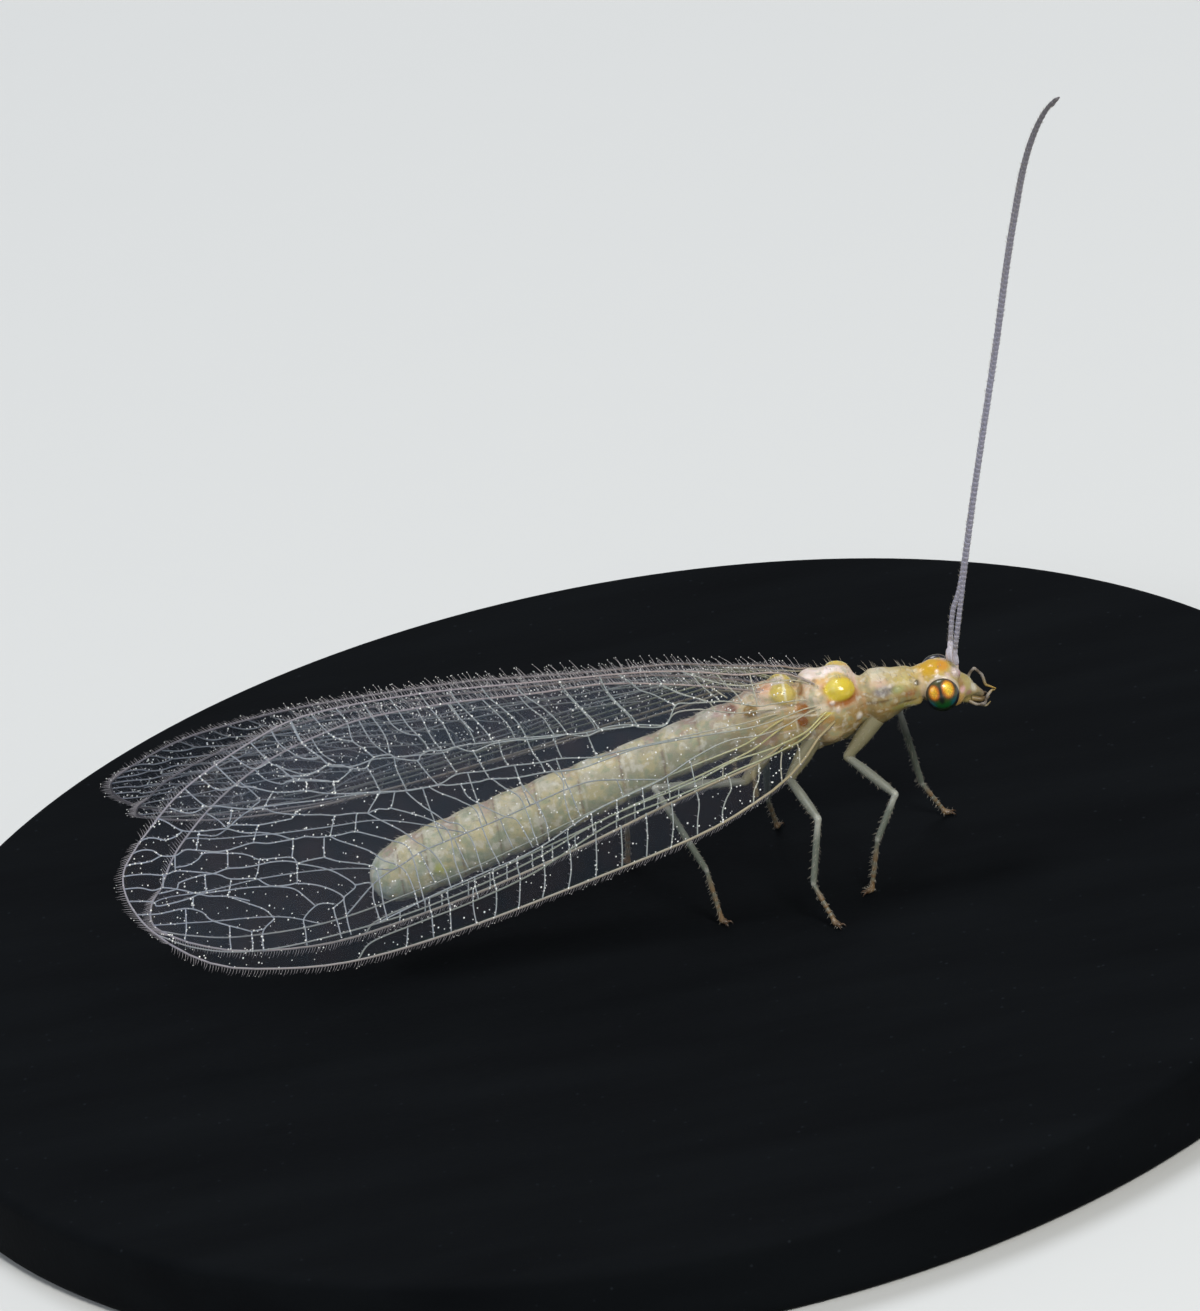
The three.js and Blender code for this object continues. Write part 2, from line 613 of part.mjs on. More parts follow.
function baseGeometry() {
  const { radius, thickness, chamfer, sides } = BASE;
  const profile = [
    [0, 0],
    [radius - chamfer, 0],
    [radius, chamfer],
    [radius, thickness - chamfer],
    [radius - chamfer, thickness],
    [0, thickness],
  ].map(([r, z]) => new THREE.Vector2(r, z));
  const geometry = new THREE.LatheGeometry(profile, sides);
  geometry.rotateX(Math.PI / 2);
  return geometry;
}

// Assembly

const finishes = {
  cuticle: { color: 0xd9c77f, roughness: 0.45 },
  head: { color: 0xe0a93c, roughness: 0.4 },
  eye: { color: 0x2f7a4c, roughness: 0.12 },
  feeler: { color: 0xa8a3ad, roughness: 0.6 },
  abdomen: { color: 0xdfe0b4, roughness: 0.5 },
  leg: { color: 0xb7bba4, roughness: 0.5 },
  wing: { color: 0xc9d2cd, roughness: 0.2 },
  base: { color: 0x24292b, roughness: 0.6 },
};

function addPiece(parent, name, shape, finish) {
  const geometry = shape.isBufferGeometry ? shape : toGeometry(shape);
  const mesh = new THREE.Mesh(geometry, new THREE.MeshStandardMaterial({ ...finishes[finish], metalness: 0 }));
  mesh.name = name;
  parent.add(mesh);
}

const specimen = new THREE.Group();
const lacewing = new THREE.Group();
lacewing.position.set(-BASE.middle, 0, BASE.thickness + GAP);
specimen.add(lacewing);

addPiece(specimen, 'stand_base', baseGeometry(), 'base');

addPiece(lacewing, 'head', headSolid(), 'head');
addPiece(lacewing, 'prothorax', bodyLoft(prothoraxSections, PROTHORAX.sides), 'cuticle');
addPiece(lacewing, 'mesothorax', mesothorax(), 'cuticle');
addPiece(lacewing, 'metathorax', metathorax(), 'cuticle');
addPiece(lacewing, 'abdomen_front', abdomenPiece(1, 3), 'abdomen');
addPiece(lacewing, 'abdomen_middle', abdomenPiece(4, 6), 'abdomen');
addPiece(lacewing, 'abdomen_rear', abdomenPiece(7, 9), 'abdomen');

const legRoom = joined([
  bodyLoft(prothoraxSections, PROTHORAX.sides, LEG_ROOM),
  bodyLoft(mesothoraxSections, MESOTHORAX.sides, LEG_ROOM),
  bodyLoft(metathoraxSections, METATHORAX.sides, LEG_ROOM),
]);

for (const [word, side] of [['left', 1], ['right', -1]]) {
  addPiece(lacewing, `eye_${word}`, eyeSolid(side), 'eye');
  addPiece(lacewing, `antenna_${word}`, feelerSolid(side), 'feeler');
  addPiece(lacewing, `forewing_${word}`, wingGeometry(FOREWING, side), 'wing');
  addPiece(lacewing, `hindwing_${word}`, wingGeometry(HINDWING, side), 'wing');
}
for (const name of Object.keys(LEGS)) {
  addPiece(lacewing, `leg_${name}`, legSolid(name, legRoom), 'leg');
}

export default specimen;
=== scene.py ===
import bisect
import math
import random

import bmesh
import bpy
import numpy as np
from mathutils import Matrix, Vector, noise


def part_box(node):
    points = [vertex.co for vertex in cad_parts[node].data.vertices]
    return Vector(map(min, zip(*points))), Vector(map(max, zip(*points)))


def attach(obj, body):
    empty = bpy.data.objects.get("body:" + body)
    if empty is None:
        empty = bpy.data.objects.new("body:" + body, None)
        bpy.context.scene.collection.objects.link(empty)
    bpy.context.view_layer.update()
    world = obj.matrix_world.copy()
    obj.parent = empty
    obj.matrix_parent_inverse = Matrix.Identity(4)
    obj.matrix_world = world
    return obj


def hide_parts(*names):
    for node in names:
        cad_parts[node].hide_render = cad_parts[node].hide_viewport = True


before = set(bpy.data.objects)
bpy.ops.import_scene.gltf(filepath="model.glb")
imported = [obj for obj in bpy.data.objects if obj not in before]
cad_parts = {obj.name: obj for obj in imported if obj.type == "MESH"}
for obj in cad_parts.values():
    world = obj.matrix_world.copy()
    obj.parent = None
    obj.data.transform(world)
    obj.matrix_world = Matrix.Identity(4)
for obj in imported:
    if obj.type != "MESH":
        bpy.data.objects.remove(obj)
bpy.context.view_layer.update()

# Camera: a long macro lens looking down a little on the animal's right side. It is rolled so that
# the body rises to the right, and aimed at the middle of the picture, high over the back.
MM = 0.001
camera_rise = math.radians(26)
camera_roll = math.radians(11)
camera_aim = Vector((0.22, 0, 6.71)) * MM
camera_distance = 0.30
camera_sensor = 36
picture_height = 24.1 * MM

camera_data = bpy.data.cameras.new("macro camera")
camera_data.sensor_width = camera_sensor
camera_data.lens = camera_sensor * camera_distance / picture_height
camera_data.clip_start = 0.01
camera_data.clip_end = 20
camera = bpy.data.objects.new("macro camera", camera_data)
bpy.context.scene.collection.objects.link(camera)
backward = Vector((0, -math.cos(camera_rise), math.sin(camera_rise)))
level_right = Vector((1, 0, 0))
level_up = Vector((0, math.sin(camera_rise), math.cos(camera_rise)))
right = math.cos(camera_roll) * level_right - math.sin(camera_roll) * level_up
up = math.sin(camera_roll) * level_right + math.cos(camera_roll) * level_up
turn = Matrix((right, up, backward)).transposed().to_4x4()
camera.matrix_world = Matrix.Translation(camera_aim + backward * camera_distance) @ turn
bpy.context.scene.camera = camera


# Studio: a pale matt floor, an even pale sky and three soft lamps. The key lamp stands in front and
# above, a little towards the head. The wings lie four films deep, so light has to pass many layers.
def linear(code):
    """An sRGB hex colour, such as "c8b070", as linear red, green, blue and one."""
    channels = [int(code[i:i + 2], 16) / 255 for i in (0, 2, 4)]
    low = [c / 12.92 for c in channels]
    high = [((c + 0.055) / 1.055) ** 2.4 for c in channels]
    return (*(l if c <= 0.04045 else h for c, l, h in zip(channels, low, high)), 1)


def add_node(tree, kind, inputs=None, **settings):
    """Adds a node with its settings, and sets or links each of its named inputs."""
    node = tree.nodes.new(kind)
    for name, value in settings.items():
        setattr(node, name, value)
    for name, value in (inputs or {}).items():
        if isinstance(value, bpy.types.NodeSocket):
            tree.links.new(value, node.inputs[name])
        else:
            node.inputs[name].default_value = value
    return node


def new_material(name):
    """An empty material and its node tree."""
    material = bpy.data.materials.new(name)
    material.use_nodes = True
    material.node_tree.nodes.clear()
    return material, material.node_tree


def add_surface(tree, inputs):
    """Adds a material's shader, with its inputs, and its output."""
    shader = add_node(tree, "ShaderNodeBsdfPrincipled", inputs)
    add_node(tree, "ShaderNodeOutputMaterial", {"Surface": shader.outputs["BSDF"]})


bpy.context.scene.cycles.transparent_max_bounces = 32
bpy.context.scene.view_settings.view_transform = "Standard"

world = bpy.data.worlds.new("pale studio")
world.use_nodes = True
world.node_tree.nodes["Background"].inputs["Color"].default_value = linear("eef1f4")
world.node_tree.nodes["Background"].inputs["Strength"].default_value = 0.28
bpy.context.scene.world = world

# A lamp is its name, its place and width in metres, its power in watts and its colour.
lamps = [
    ("key lamp", Vector((0.12, -0.26, 0.28)), 0.12, 1.15, "fffaf2"),
    ("fill lamp", Vector((-0.30, -0.14, 0.20)), 0.22, 0.3, "f2f6ff"),
    ("rim lamp", Vector((-0.06, 0.18, 0.45)), 0.20, 1.0, "f6f8ff"),
]
for lamp_name, lamp_at, lamp_size, lamp_power, lamp_colour in lamps:
    lamp_data = bpy.data.lights.new(lamp_name, "AREA")
    lamp_data.shape = "DISK"
    lamp_data.size = lamp_size
    lamp_data.energy = lamp_power
    lamp_data.color = linear(lamp_colour)[:3]
    lamp = bpy.data.objects.new(lamp_name, lamp_data)
    lamp.location = lamp_at
    lamp.rotation_euler = (lamp_at - camera_aim).to_track_quat("Z", "Y").to_euler()
    bpy.context.scene.collection.objects.link(lamp)

floor_reach = 2
floor_mesh = bpy.data.meshes.new("floor")
bm = bmesh.new()
bmesh.ops.create_grid(bm, x_segments=1, y_segments=1, size=floor_reach)
bm.to_mesh(floor_mesh)
bm.free()
floor = bpy.data.objects.new("floor", floor_mesh)
bpy.context.scene.collection.objects.link(floor)
paper, tree = new_material("pale matt paper")
grain = add_node(tree, "ShaderNodeTexNoise", {"Scale": 1500, "Detail": 3})
bump = add_node(tree, "ShaderNodeBump", {
    "Height": grain.outputs["Fac"], "Strength": 0.15, "Distance": 0.0001})
add_surface(tree, {"Base Color": linear("d3d6d6"), "Roughness": 0.85, "Normal": bump.outputs["Normal"]})
floor_mesh.materials.append(paper)

# Base: a turned disc of black slate, honed flat on top, its rim eased by a small round. It is all
# that carries the animal, and its place and size come from the frame.
base_low, base_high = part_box("stand_base")
base_radius = (base_high.x - base_low.x) / 2 / MM
base_thickness = (base_high.z - base_low.z) / MM
base_sides, rim_round, rim_steps = 180, 0.22, 5
# The animal is drawn in millimetres from a point between its hind feet, and stands 0.15 mm clear.
animal_shift = Vector((1.5, 0, base_thickness + 0.15))


def settle(bm, name, shift=animal_shift):
    """Turns a bmesh in the animal's own millimetres into a finished, smooth object in the frame."""
    bmesh.ops.translate(bm, verts=bm.verts, vec=shift)
    bmesh.ops.scale(bm, verts=bm.verts, vec=(MM, MM, MM))
    for face in bm.faces:
        face.smooth = True
    mesh = bpy.data.meshes.new(name)
    bm.to_mesh(mesh)
    bm.free()
    piece = bpy.data.objects.new(name, mesh)
    bpy.context.scene.collection.objects.link(piece)
    return piece


bm = bmesh.new()
bmesh.ops.create_cone(
    bm, cap_ends=True, segments=base_sides, radius1=base_radius, radius2=base_radius,
    depth=base_thickness, matrix=Matrix.Translation((0, 0, base_thickness / 2)),
)
rim = [e for e in bm.edges if abs(e.verts[0].co.z - e.verts[1].co.z) < 1e-6]
bmesh.ops.bevel(
    bm, geom=rim, offset=rim_round, offset_type="OFFSET", segments=rim_steps, profile=0.5,
    affect="EDGES", material=-1,
)
base = settle(bm, "slate_base", Vector((0, 0, 0)))
base.data.set_sharp_from_angle(angle=math.radians(40))


def mix_tones(tree, share, first, second):
    """The mix of two colours. The node names its sockets alike for all kinds, so they go by number."""
    factor, a, b, result = 0, 6, 7, 2
    mixed = add_node(tree, "ShaderNodeMix", {factor: share, a: first, b: second}, data_type="RGBA")
    return mixed.outputs[result]


slate, tree = new_material("honed slate")
place = add_node(tree, "ShaderNodeTexCoord").outputs["Object"]
# The beds of the stone show as faint streaks a few millimetres long, over a grain of 0.05 mm.
streaks = add_node(tree, "ShaderNodeMapping", {
    "Vector": place, "Scale": (90, 420, 420), "Rotation": (0, 0, 0.5)})
beds = add_node(tree, "ShaderNodeTexNoise", {"Vector": streaks.outputs["Vector"], "Scale": 1.6, "Detail": 6})
grain = add_node(tree, "ShaderNodeTexNoise", {"Vector": place, "Scale": 9000, "Detail": 4})
speckle = add_node(tree, "ShaderNodeTexVoronoi", {"Vector": place, "Scale": 2600})
tone = add_node(tree, "ShaderNodeValToRGB", {"Fac": beds.outputs["Fac"]})
tone.color_ramp.elements[0].position = 0.3
tone.color_ramp.elements[0].color = linear("05070a")
tone.color_ramp.elements[1].position = 0.75
tone.color_ramp.elements[1].color = linear("0d1013")
glint = add_node(tree, "ShaderNodeMapRange", {
    "Value": speckle.outputs["Distance"], "From Min": 0.1, "From Max": 0.02, "To Min": 0.0, "To Max": 0.35})
colour = mix_tones(tree, glint.outputs["Result"], tone.outputs["Color"], linear("2c3238"))
height = add_node(tree, "ShaderNodeMath", {0: grain.outputs["Fac"], 1: beds.outputs["Fac"]}, operation="ADD")
bump = add_node(tree, "ShaderNodeBump", {
    "Height": height.outputs["Value"], "Strength": 0.25, "Distance": 0.00003})
rough = add_node(tree, "ShaderNodeMapRange", {"Value": beds.outputs["Fac"], "To Min": 0.72, "To Max": 0.9})
add_surface(tree, {
    "Base Color": colour, "Roughness": rough.outputs["Result"], "Normal": bump.outputs["Normal"],
    "IOR": 1.4, "Specular IOR Level": 0.07})
base.data.materials.append(slate)
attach(base, "root")
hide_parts("stand_base")

# Skin: one soft chitin skin over head, thorax and abdomen, with no seam between them. Rings give the
# trunk, and rounded masses give the plates that bulge from it. All are fused and then wrinkled.
# Each ring is its place along the body, its top, its bottom and half its width.
trunk_rings = [
    (4.62, 3.62, 2.92, 0.33), (4.44, 3.6, 2.94, 0.34), (4.30, 3.56, 2.93, 0.36), (4.22, 3.61, 2.88, 0.41),
    (4.06, 3.63, 2.85, 0.42), (3.86, 3.64, 2.76, 0.45), (3.68, 3.69, 2.66, 0.49), (3.52, 3.69, 2.62, 0.49),
    (3.42, 3.63, 2.68, 0.43), (3.34, 3.58, 2.72, 0.42), (3.27, 3.64, 2.76, 0.45), (3.17, 3.76, 2.68, 0.54),
    (3.0, 3.86, 2.56, 0.62), (2.78, 3.9, 2.46, 0.65), (2.52, 3.9, 2.42, 0.63), (2.3, 3.86, 2.43, 0.58),
    (2.18, 3.72, 2.48, 0.52), (2.12, 3.68, 2.5, 0.48), (2.05, 3.74, 2.5, 0.48), (1.95, 3.84, 2.47, 0.5),
    (1.78, 3.88, 2.44, 0.49), (1.5, 3.82, 2.44, 0.45), (1.2, 3.74, 2.46, 0.45), (0.96, 3.64, 2.54, 0.46),
    (0.82, 3.56, 2.6, 0.44),
]
abdomen_root = 0.71
abdomen_height = 3.08
abdomen_slope = 0.25
abdomen_radius = 0.47
abdomen_swelling = 0.1
abdomen_tip = -6.24
abdomen_width, abdomen_depth = 0.96, 1.03
segment_edges = [0.71, 0.2, -0.5, -1.3, -2.12, -2.94, -3.74, -4.48, -5.14, -5.66]
groove_width, groove_depth, segment_bulge = 0.09, 0.04, 0.022
taper_length, taper_power, tip_droop = 0.9, 2.4, 0.05
ring_sides = 48


def smoothstep(value, low, high):
    """0 below low, 1 above high, and a smooth rise between."""
    share = min(max((value - low) / (high - low), 0), 1)
    return share * share * (3 - 2 * share)


round_mass = bpy.data.meshes.new("round mass")
bm = bmesh.new()
bmesh.ops.create_uvsphere(bm, u_segments=28, v_segments=18, radius=1)
bm.to_mesh(round_mass)
bm.free()


abdomen_rings = []
step_count = 96
for step in range(step_count + 1):
    x = abdomen_root + (abdomen_tip - abdomen_root) * step / step_count
    back = abdomen_root - x
    radius = abdomen_radius + abdomen_swelling * smoothstep(back, 0.9, 5.0)
    # Each segment bulges between the grooves at its edges, most towards its hind edge.
    groove = max(math.exp(-((x - edge) / groove_width) ** 2) for edge in segment_edges[1:])
    segment = min(bisect.bisect_left([-edge for edge in segment_edges], -x), len(segment_edges) - 1)
    front_edge, rear_edge = segment_edges[max(segment - 1, 0)], segment_edges[segment]
    along = min(max((front_edge - x) / (front_edge - rear_edge + 1e-9), 0), 1)
    radius *= 1 + segment_bulge * math.sin(math.pi * along ** 1.3) - groove_depth * groove
    end = min(max((x - abdomen_tip) / taper_length, 0.0008), 1)
    radius *= (1 - (1 - end) ** taper_power) ** 0.5
    centre = abdomen_height - abdomen_slope * back - tip_droop * (1 - end) ** 2
    depth = radius * abdomen_depth
    abdomen_rings.append((x, centre + depth, centre - depth, radius * abdomen_width))

bm = bmesh.new()
last_edges = None
for x, top, bottom, half in trunk_rings + abdomen_rings:
    tilt = math.atan(abdomen_slope) * smoothstep(abdomen_root - x, -0.3, 1.2)
    place = Matrix.Translation((x, 0, (top + bottom) / 2)) @ Matrix.Rotation(math.radians(90) - tilt, 4, "Y")
    scaled = place @ Matrix.Diagonal(((top - bottom) / 2, half, 1, 1))
    ring = bmesh.ops.create_circle(bm, cap_ends=False, radius=1, segments=ring_sides, matrix=scaled)["verts"]
    edges = list({e for v in ring for e in v.link_edges})
    if last_edges is None:
        bmesh.ops.holes_fill(bm, edges=edges, sides=0)
    else:
        bmesh.ops.bridge_loops(bm, edges=last_edges + edges)
    last_edges = edges
bmesh.ops.holes_fill(bm, edges=last_edges, sides=0)

# Each mass is its centre, its radii and the dip of its front in degrees. One that is off the middle
# stands on both sides.
masses = [
    # Head: cranium, crown, face, upper lip, cheeks and the under side of the mouth.
    ((4.77, 0, 3.23), (0.41, 0.42, 0.4), 0), ((4.62, 0, 3.25), (0.3, 0.38, 0.38), 0),
    ((4.7, 0, 3.44), (0.29, 0.29, 0.22), 0), ((5.06, 0, 3.08), (0.37, 0.27, 0.25), 32),
    ((5.31, 0, 2.94), (0.22, 0.17, 0.12), 40), ((5.47, 0, 2.84), (0.11, 0.13, 0.06), 50),
    ((5.2, 0, 2.8), (0.25, 0.16, 0.1), 12), ((4.98, 0.25, 2.98), (0.21, 0.13, 0.19), 20),
    ((5.08, 0.155, 3.4), (0.1, 0.1, 0.1), 0), ((4.78, 0.36, 3.19), (0.34, 0.11, 0.34), 0),
    # Thorax: neck plates, the paired lobes and the shields of its back, side plates and hip sockets.
    ((4.16, 0.29, 3.08), (0.26, 0.11, 0.11), 8), ((3.72, 0.24, 3.34), (0.34, 0.2, 0.27), 4),
    ((2.93, 0.31, 3.58), (0.3, 0.3, 0.27), 12), ((2.84, 0, 3.76), (0.36, 0.24, 0.18), 8),
    ((2.44, 0, 3.8), (0.24, 0.3, 0.13), 0), ((2.5, 0.36, 3.58), (0.26, 0.22, 0.2), 0),
    ((2.75, 0.585, 3.49), (0.055, 0.05, 0.045), 0), ((2.83, 0.615, 3.35), (0.05, 0.05, 0.06), 0),
    ((3.2, 0.47, 3.09), (0.06, 0.06, 0.08), 0), ((2.6, 0.4, 2.95), (0.34, 0.25, 0.36), -18),
    ((2.28, 0.34, 2.84), (0.24, 0.2, 0.36), -18), ((1.86, 0.2, 3.66), (0.25, 0.25, 0.22), 0),
    ((1.56, 0.14, 3.68), (0.2, 0.2, 0.15), 0), ((1.34, 0, 3.68), (0.22, 0.2, 0.12), 0),
    ((1.74, 0.31, 2.95), (0.28, 0.2, 0.38), -16), ((1.4, 0.27, 2.86), (0.22, 0.19, 0.34), -16),
    ((1.2, 0.25, 3.46), (0.17, 0.14, 0.12), 0),
    # Tail: the two plates that close the tip.
    ((-5.99, 0.13, 1.37), (0.21, 0.22, 0.25), -14),
]
for (x, y, z), radii, dip in masses:
    for side in (1, -1) if y else (1,):
        place = Matrix.Translation((x, side * y, z)) @ Matrix.Rotation(math.radians(dip), 4, "Y")
        mass = round_mass.copy()
        mass.transform(place @ Matrix.Diagonal((*radii, 1)))
        bm.from_mesh(mass)
        bpy.data.meshes.remove(mass)

voxel_size = 0.025
smoothing_rounds = 8
# Folds 0.2 mm apart are deeper on the thorax and head than on the abdomen, and pits are 0.05 mm apart.
fold_depth, thorax_fold_depth, pit_depth = 0.005, 0.008, 0.0035
skin = settle(bm, "skin", Vector((0, 0, 0)))
skin.data.transform(Matrix.Scale(1 / MM, 4))
remesh = skin.modifiers.new("one skin", "REMESH")
remesh.mode = "VOXEL"
remesh.voxel_size = voxel_size
remeshed = bpy.data.meshes.new_from_object(skin.evaluated_get(bpy.context.evaluated_depsgraph_get()))
bpy.data.objects.remove(skin)
bm = bmesh.new()
bm.from_mesh(remeshed)
for _ in range(smoothing_rounds):
    bmesh.ops.smooth_vert(
        bm, verts=bm.verts, factor=0.5, use_axis_x=True, use_axis_y=True, use_axis_z=True,
    )
bm.normal_update()
for vert in bm.verts:
    x, y, z = vert.co
    depth = thorax_fold_depth * smoothstep(x, 0.6, 1.2) + fold_depth
    folds = noise.noise(Vector((x * 5, abs(y) * 7, z * 7)) + Vector((3, 1, 7)))
    pits = noise.noise(vert.co * 22)
    vert.co += vert.normal * (folds * depth + pits * pit_depth)
skin_places = [v.co.copy() for v in bm.verts]
skin_normals = [v.normal.copy() for v in bm.verts]
skin = settle(bm, "skin")


def blend_colours(stops, values):
    """The linear colours at the values, blended between stops of a place and a hex colour."""
    places = [place for place, _ in stops]
    colours = np.array([linear(code) for _, code in stops])
    return np.stack([np.interp(values, places, channel) for channel in colours.T], axis=-1)


def rise(values, low, high):
    """smoothstep() for an array of values, as one column."""
    share = np.clip((values - low) / (high - low), 0, 1)
    return (share * share * (3 - 2 * share))[:, None]


def paint(piece, places, base, marks):
    """Writes and returns each point's colour, its gloss as alpha. A mark is an ellipsoid on both sides."""
    places = np.array(places)
    colours = base(*places.T)
    folded = places.copy()
    folded[:, 1] = np.abs(places[:, 1])
    for centre, radii, code, gloss, soft, strength in marks:
        reach = np.sqrt((((folded - np.array(centre)) / np.array(radii)) ** 2).sum(axis=1))
        share = np.clip((1 + soft - reach) / (2 * soft), 0, 1)
        share = (share * share * (3 - 2 * share) * strength)[:, None]
        colours = colours * (1 - share) + np.array((*linear(code)[:3], gloss)) * share
    tint = piece.data.color_attributes.new("tint", "FLOAT_COLOR", "POINT")
    tint.data.foreach_set("color", colours.astype(np.float32).ravel())
    return colours


back_stops = [
    (-6.3, "b4bcb2"), (-5.6, "b0b098"), (-3, "b2ae94"), (0.3, "aea48c"), (0.7, "b0968c"), (0.9, "bfa48c"),
    (1.5, "cdb69e"), (2.1, "c4a274"), (2.6, "d8c4b6"), (3.2, "d2bca8"), (3.4, "b8a67c"), (4.2, "b09c62"),
    (4.5, "c09c3c"), (4.95, "b8a25a"), (5.15, "a89c66"),
]
# The side tones are darker than the back's, partly the skin's own colour and partly painted shade.
side_tone_and_shade_stops = [
    (-6.3, "a3aea0"), (-3, "a0a488"), (0.5, "9c9c80"), (0.9, "a0926c"), (1.5, "a8965f"), (2.1, "9c8048"),
    (2.6, "a8955e"), (3.2, "a08048"), (3.4, "8f7a4e"), (4.2, "957f4a"), (4.5, "aa9450"), (5.2, "a4945a"),
    (5.5, "7c6a4c"),
]


def skin_base(x, y, z):
    """Pinkish cream along the back, tan on the thorax's sides and pale grey green on the abdomen. The sides
    are darker, partly their own colour and partly painted shade.
    """
    middle = np.where(x > abdomen_root, 3.2, abdomen_height - abdomen_slope * (abdomen_root - x))
    share = rise(z - middle, -0.05, 0.5)
    colours = blend_colours(side_tone_and_shade_stops, x) * (1 - share) + blend_colours(back_stops, x) * share
    colours[:, 3] = 0.35
    return colours


